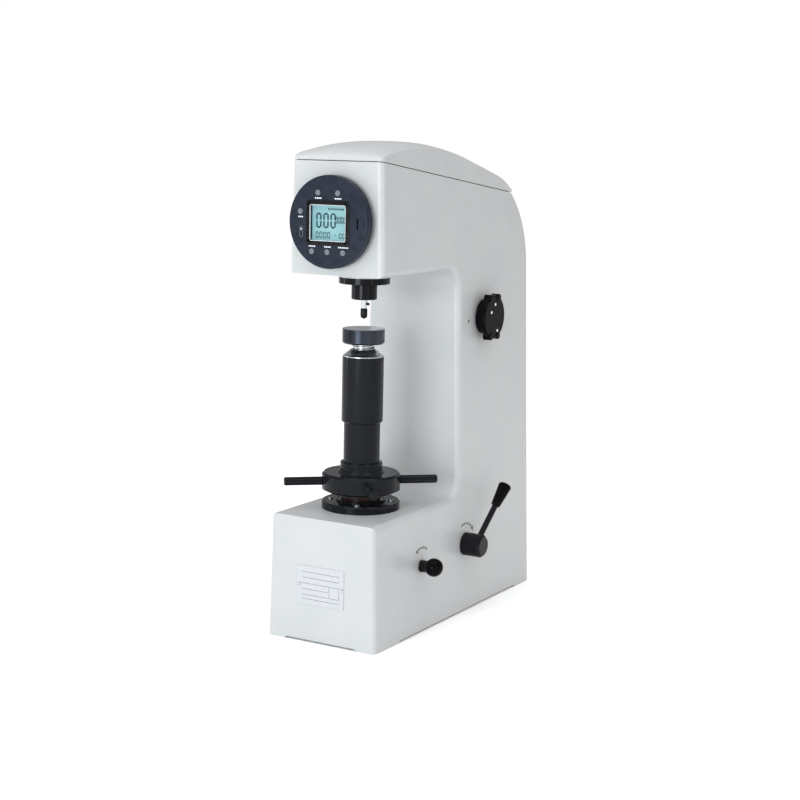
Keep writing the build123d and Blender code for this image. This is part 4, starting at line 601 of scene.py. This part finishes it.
for height, outward in ((screw_low, -1.0), (screw_high, 1.0)):
    bmesh.ops.bisect_plane(
        bm,
        geom=bm.verts[:] + bm.edges[:] + bm.faces[:],
        plane_co=(0.0, 0.0, height),
        plane_no=(0.0, 0.0, outward),
        clear_outer=True,
    )
    open_edges = [edge for edge in bm.edges if edge.is_boundary]
    rim = [edge for edge in open_edges if abs(edge.verts[0].co.z - height) < 1e-6]
    bmesh.ops.edgeloop_fill(bm, edges=rim)
bmesh.ops.create_cone(
    bm,
    cap_ends=True,
    segments=48,
    radius1=spigot_radius,
    radius2=spigot_radius,
    depth=spigot_length,
    matrix=Matrix.Translation((0.0, 0.0, screw_high + spigot_rise)),
)
thread = finished_piece("screw_thread", bm, ground_steel, "screw_body", 50.0)
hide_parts("elevating_screw")

# %% [markdown]
# ## The display
#
# A rounded black bezel frames the display, with a thin bright line inside it. Such a frame could be
# a solid with a hole cut in it, but it is simpler as a wall: the four upright edges of a block are
# rounded, its front and back are thrown away, and the strip that is left is given its thickness
# inward by the solidify operator.

# %% Frame from a rounded strip
face_y = -0.0955  # front of the gauge's face plate
glass_y = -0.0915  # front of the lit panel
display_z = 0.5757
gauge_z = 0.5770


def rounded_frame(centre, width, height, depth, corner, ring, edge):
    """Makes a rectangular frame with round corners, its ring and front edges as wide as given."""
    bm = bmesh.new()
    bar(bm, centre, (width, depth, height))
    uprights = [e for e in bm.edges if abs(e.verts[0].co.y - e.verts[1].co.y) > depth / 2]
    bmesh.ops.bevel(
        bm, geom=uprights, offset=corner, segments=8, profile=0.5, affect="EDGES", material=-1
    )
    caps = [f for f in bm.faces if abs(f.normal.y) > 0.9]
    bmesh.ops.delete(bm, geom=caps, context="FACES_ONLY")
    bmesh.ops.recalc_face_normals(bm, faces=bm.faces)
    outward = sum(f.normal.dot(f.calc_center_median() - Vector(centre)) for f in bm.faces)
    if outward < 0.0:
        bmesh.ops.reverse_faces(bm, faces=bm.faces)
    bmesh.ops.solidify(bm, geom=bm.faces[:], thickness=ring)
    front = [e for e in bm.edges if all(v.co.y < centre[1] - depth / 2 + 1e-6 for v in e.verts)]
    walled = [e for e in front if len(e.link_faces) == 2]
    rims = [e for e in walled if any(abs(f.normal.y) < 0.5 for f in e.link_faces)]
    bmesh.ops.bevel(
        bm, geom=rims, offset=edge, segments=3, profile=0.5, affect="EDGES", material=-1
    )
    return bm


bezel = rounded_frame(
    (0.0, face_y - 0.0006, display_z), width=0.0675, height=0.0592, depth=0.0012,
    corner=0.0050, ring=0.0056, edge=0.0003,
)
finished_piece("display_bezel", bezel, bezel_moulding, "frame")
line = rounded_frame(
    (0.0, face_y - 0.00045, display_z), width=0.0572, height=0.0489, depth=0.0009,
    corner=0.0012, ring=0.0013, edge=0.0001,
)
finished_piece("display_line", line, silver_line, "frame")

# %% [markdown]
# ## Digits
#
# A liquid-crystal digit is seven bars with pointed ends. One bar is a flat block whose two short
# ends are extruded and pinched; a nought lights six of them. The figures are a tenth of a
# millimetre thick and lie just ahead of the lit panel, behind the window. Every row on the display
# is one line of the table below: how many noughts, where the first one stands, how far apart they
# are, how large each is and how thick its bars are.

# %% Bars and noughts
digit_y = glass_y - 0.0002
digit_depth = 0.0001


def segment(bm, x, z, length, width, upright):
    """Adds one pointed bar in the display's plane."""
    tip = 0.45 * width
    body = length - 2 * tip
    size = (width, digit_depth, body) if upright else (body, digit_depth, width)
    along = Vector((0.0, 0.0, 1.0)) if upright else Vector((1.0, 0.0, 0.0))
    pinch = (0.25, 1.0, 1.0) if upright else (1.0, 1.0, 0.25)
    block = bar(bm, (x, digit_y, z), size)
    bm.normal_update()
    sides = {face for vert in block for face in vert.link_faces}
    for end in [face for face in sides if abs(face.normal.dot(along)) > 0.9]:
        reach = along * end.normal.dot(along) * tip
        point = bmesh.ops.extrude_discrete_faces(bm, faces=[end])["faces"][0]
        bmesh.ops.translate(bm, verts=point.verts, vec=reach)
        to_middle = Matrix.Translation(-point.calc_center_median())
        bmesh.ops.scale(bm, verts=point.verts, vec=pinch, space=to_middle)


def nought(bm, x, z, width, height, stroke):
    """Adds the six outer bars of a seven-bar digit, centred at x and z."""
    half = (height - stroke) / 2
    across, up = width - 1.3 * stroke, half - 0.4 * stroke
    for rise in (-1, 1):
        segment(bm, x, z + rise * half, across, stroke, False)
        for side in (-1, 1):
            edge = x + side * (width - stroke) / 2
            segment(bm, edge, z + rise * half / 2, up, stroke, True)


# %% The rows of the display
digit_rows = [
    # count, first x, z, step, width, height, stroke
    (3, -0.0165, 0.5788, 0.0112, 0.0086, 0.0200, 0.0023),
    (4, -0.0190, 0.5596, 0.0060, 0.0046, 0.0088, 0.0011),
    (4, 0.0118, 0.5800, 0.0041, 0.0034, 0.0092, 0.0010),
    (2, 0.0172, 0.5592, 0.0054, 0.0040, 0.0072, 0.0010),
]
top_row = (8, -0.0010, 0.5942, 0.0032)
top_mark = (0.0018, digit_depth, 0.0026)
dash_place = (0.0098, digit_y, 0.5596)
dash_size = (0.0020, digit_depth, 0.0012)

bm = bmesh.new()
for count, first, z, step, width, height, stroke in digit_rows:
    for place in range(count):
        nought(bm, first + step * place, z, width, height, stroke)
count, first, z, step = top_row
for place in range(count):
    bar(bm, (first + step * place, digit_y, z), top_mark)
bar(bm, dash_place, dash_size)
finished_piece("display_digits", bm, display_ink, "frame")

# %% [markdown]
# ## Printed marks on the gauge
#
# Short light bars stand for the button captions, so that the face reads as printed without any
# words. They are raised by the thickness of screen-printing ink. A grey capsule outlines the lamp.

# %% Button captions and the lamp's outline
ink = 0.00012
letter_step = 0.0027
letter = (0.0018, ink, 0.0017)
captions = [
    # x and height from the gauge's centre, number of letters
    (-0.0155, 0.0312, 4), (0.0155, 0.0312, 4), (-0.0430, 0.0058, 3),
    (-0.0245, -0.0326, 4), (0.0, -0.0326, 4), (0.0245, -0.0326, 6),
]
lamp_x, lamp_drop = -0.0420, 0.0140

bm = bmesh.new()
for x, z, count in captions:
    first = x - letter_step * (count - 1) / 2
    for place in range(count):
        bar(bm, (first + letter_step * place, face_y - ink / 2, gauge_z + z), letter)
finished_piece("gauge_captions", bm, white_print, "frame")
lamp_ring = rounded_frame(
    (lamp_x, face_y - 0.00008, gauge_z - lamp_drop), width=0.0052, height=0.0150, depth=0.00016,
    corner=0.0025, ring=0.0005, edge=0.00003,
)
finished_piece("lamp_ring", lamp_ring, button_grey, "frame")

# %% [markdown]
# ## Marks round the handles
#
# Curved marks on the control side show which way the load handle and the trigger move. A mark is a
# small flat block spun through a few degrees about the shaft, so it follows the arc exactly. The
# side leans in by a degree and a half, so the finished marks are turned to lie on it.

# %% Arc marks
side_draft = math.radians(1.5)
half_base = 0.0875
mark_width = 0.0030
head_width = 0.0022
step_angle = 3.0  # degrees of arc for each step of the spin


def on_side(y, z, proud):
    """Gives the matrix from a shaft's own plane to the leaning side of the casting."""
    x = half_base - math.tan(side_draft) * z
    return Matrix.Translation((x + proud, y, z)) @ Matrix.Rotation(-side_draft, 4, "Y")


def arc_mark(bm, radius, width, start, sweep):
    """Adds a flat mark along an arc about X, its angles in degrees from upright to the back."""
    at_start = Matrix.Rotation(-math.radians(start), 4, "X")
    corners = [(0.0, 0.0), (ink, 0.0), (ink, width), (0.0, width)]
    ring = [bm.verts.new(at_start @ Vector((x, 0.0, radius + rise))) for x, rise in corners]
    face = bm.faces.new(ring)
    bmesh.ops.spin(
        bm,
        geom=[face] + list(face.edges) + ring,
        cent=(0.0, 0.0, 0.0),
        axis=(1.0, 0.0, 0.0),
        angle=-math.radians(sweep),
        steps=max(2, int(sweep / step_angle)),
        use_duplicate=False,
    )


def arrow_head(bm, radius, width, angle, forward):
    """Adds a flat arrow head on an arc, turned forward by so many degrees."""
    reach = 2.0 * width
    on_arc = Matrix.Translation((ink / 2, 0.0, radius + width / 2))
    place = Matrix.Rotation(-math.radians(angle), 4, "X") @ on_arc
    flat = Matrix.Rotation(math.radians(90.0), 4, "Y")
    pointing = Matrix.Rotation(math.radians(forward), 4, "Z")
    bmesh.ops.create_cone(
        bm, cap_ends=True, segments=3, radius1=reach, radius2=reach, depth=ink,
        matrix=place @ flat @ pointing,
    )


def handle_marks(name, y, z, radius, dashes, arrow_angle, forward):
    """Makes a row of curved dashes and an arrow head round one shaft, on the casting's side."""
    bm = bmesh.new()
    for start, sweep in dashes:
        arc_mark(bm, radius, mark_width, start, sweep)
    arrow_head(bm, radius, head_width, arrow_angle, forward)
    bmesh.ops.transform(bm, matrix=on_side(y, z, 0.00002), verts=bm.verts)
    return finished_piece(name, bm, grey_print, "frame")


# %% The marks of both handles
load_dashes = [
    (-24.0, 3.0), (-17.0, 8.0), (-5.0, 5.0), (4.0, 3.0),
    (11.0, 7.0), (22.0, 4.0), (30.0, 7.0), (40.0, 3.0),
]
trigger_dashes = [(-18.0, 8.0), (-6.0, 6.0), (4.0, 9.0), (17.0, 6.0), (27.0, 8.0)]
handle_marks("load_marks", load_y, load_z, 0.0285, load_dashes, 50.0, 90.0)
handle_marks("trigger_marks", trigger_y, trigger_z, 0.0245, trigger_dashes, -28.0, -90.0)

# %% [markdown]
# ## Selector dots
#
# White dots on the knob and a dark one on the casting show which load is set. Each is a shallow
# domed disc: a many-sided plate whose front is inset and raised a little, so it catches the light
# like a drop of paint.

# %% Painted dots
dot_sides = 24
dot_proud = 0.00016
selector_y, selector_z = 0.210, 0.433
knob_low = selector_z - 0.0355  # the knob's lowest point, where it comes nearest the casting
knob_gap, knob_depth = 0.0006, 0.0185
knob_front = half_base - math.tan(side_draft) * knob_low + knob_gap + knob_depth


def paint_dot(bm, place, radius):
    """Adds a domed dot facing +X of the given matrix."""
    disc = bmesh.ops.create_cone(
        bm, cap_ends=True, segments=dot_sides, radius1=radius, radius2=radius, depth=dot_proud,
        matrix=place @ Matrix.Rotation(math.radians(90.0), 4, "Y"),
    )["verts"]
    faces = {face for vert in disc for face in vert.link_faces}
    fronts = [face for face in faces if len(face.verts) == dot_sides]
    bmesh.ops.inset_region(bm, faces=fronts, thickness=radius * 0.35, depth=dot_proud * 0.4)


# %% Dots on the knob and beside it
knob_dots = [(0.0010, 0.0185), (-0.0105, 0.0075), (0.0090, -0.0205)]
index_y, index_z = 0.1661, 0.4294

bm = bmesh.new()
for dy, dz in knob_dots:
    place = (knob_front + dot_proud / 2, selector_y + dy, selector_z + dz)
    paint_dot(bm, Matrix.Translation(place), 0.0021)
finished_piece("selector_dots", bm, white_print, "selector_body")

bm = bmesh.new()
paint_dot(bm, on_side(index_y, index_z, dot_proud / 2), 0.0022)
finished_piece("selector_index", bm, grey_print, "frame")

# %% [markdown]
# ## The name plate
#
# The plate on the base is left without words. Ruled lines and boxes, as on any blank rating plate,
# give it its printed look: thin bars of ink on the brushed metal.

# %% Ruled lines
plate_front = -0.1018
plate_z = 0.0815
rule_proud, rule_width = 0.00008, 0.0005
rule_y = plate_front - rule_proud / 2
rules = [
    # height from the plate's middle, left and right end
    (0.0180, -0.030, 0.030), (0.0100, -0.030, 0.030), (0.0020, -0.030, 0.012),
    (-0.0060, -0.030, 0.012), (-0.0140, -0.030, 0.012), (-0.0200, -0.030, 0.030),
]
box_left, box_right = 0.014, 0.030
box_top, box_bottom = 0.0020, -0.0140

bm = bmesh.new()
for z, left, right in rules:
    bar(bm, ((left + right) / 2, rule_y, plate_z + z), (right - left, rule_proud, rule_width))
box_x, box_z = (box_left + box_right) / 2, (box_top + box_bottom) / 2
for x in (box_left, box_right):
    bar(bm, (x, rule_y, plate_z + box_z), (rule_width, rule_proud, box_top - box_bottom))
for z in (box_top, box_bottom):
    bar(bm, (box_x, rule_y, plate_z + z), (box_right - box_left, rule_proud, rule_width))
finished_piece("plate_rules", bm, grey_print, "frame")
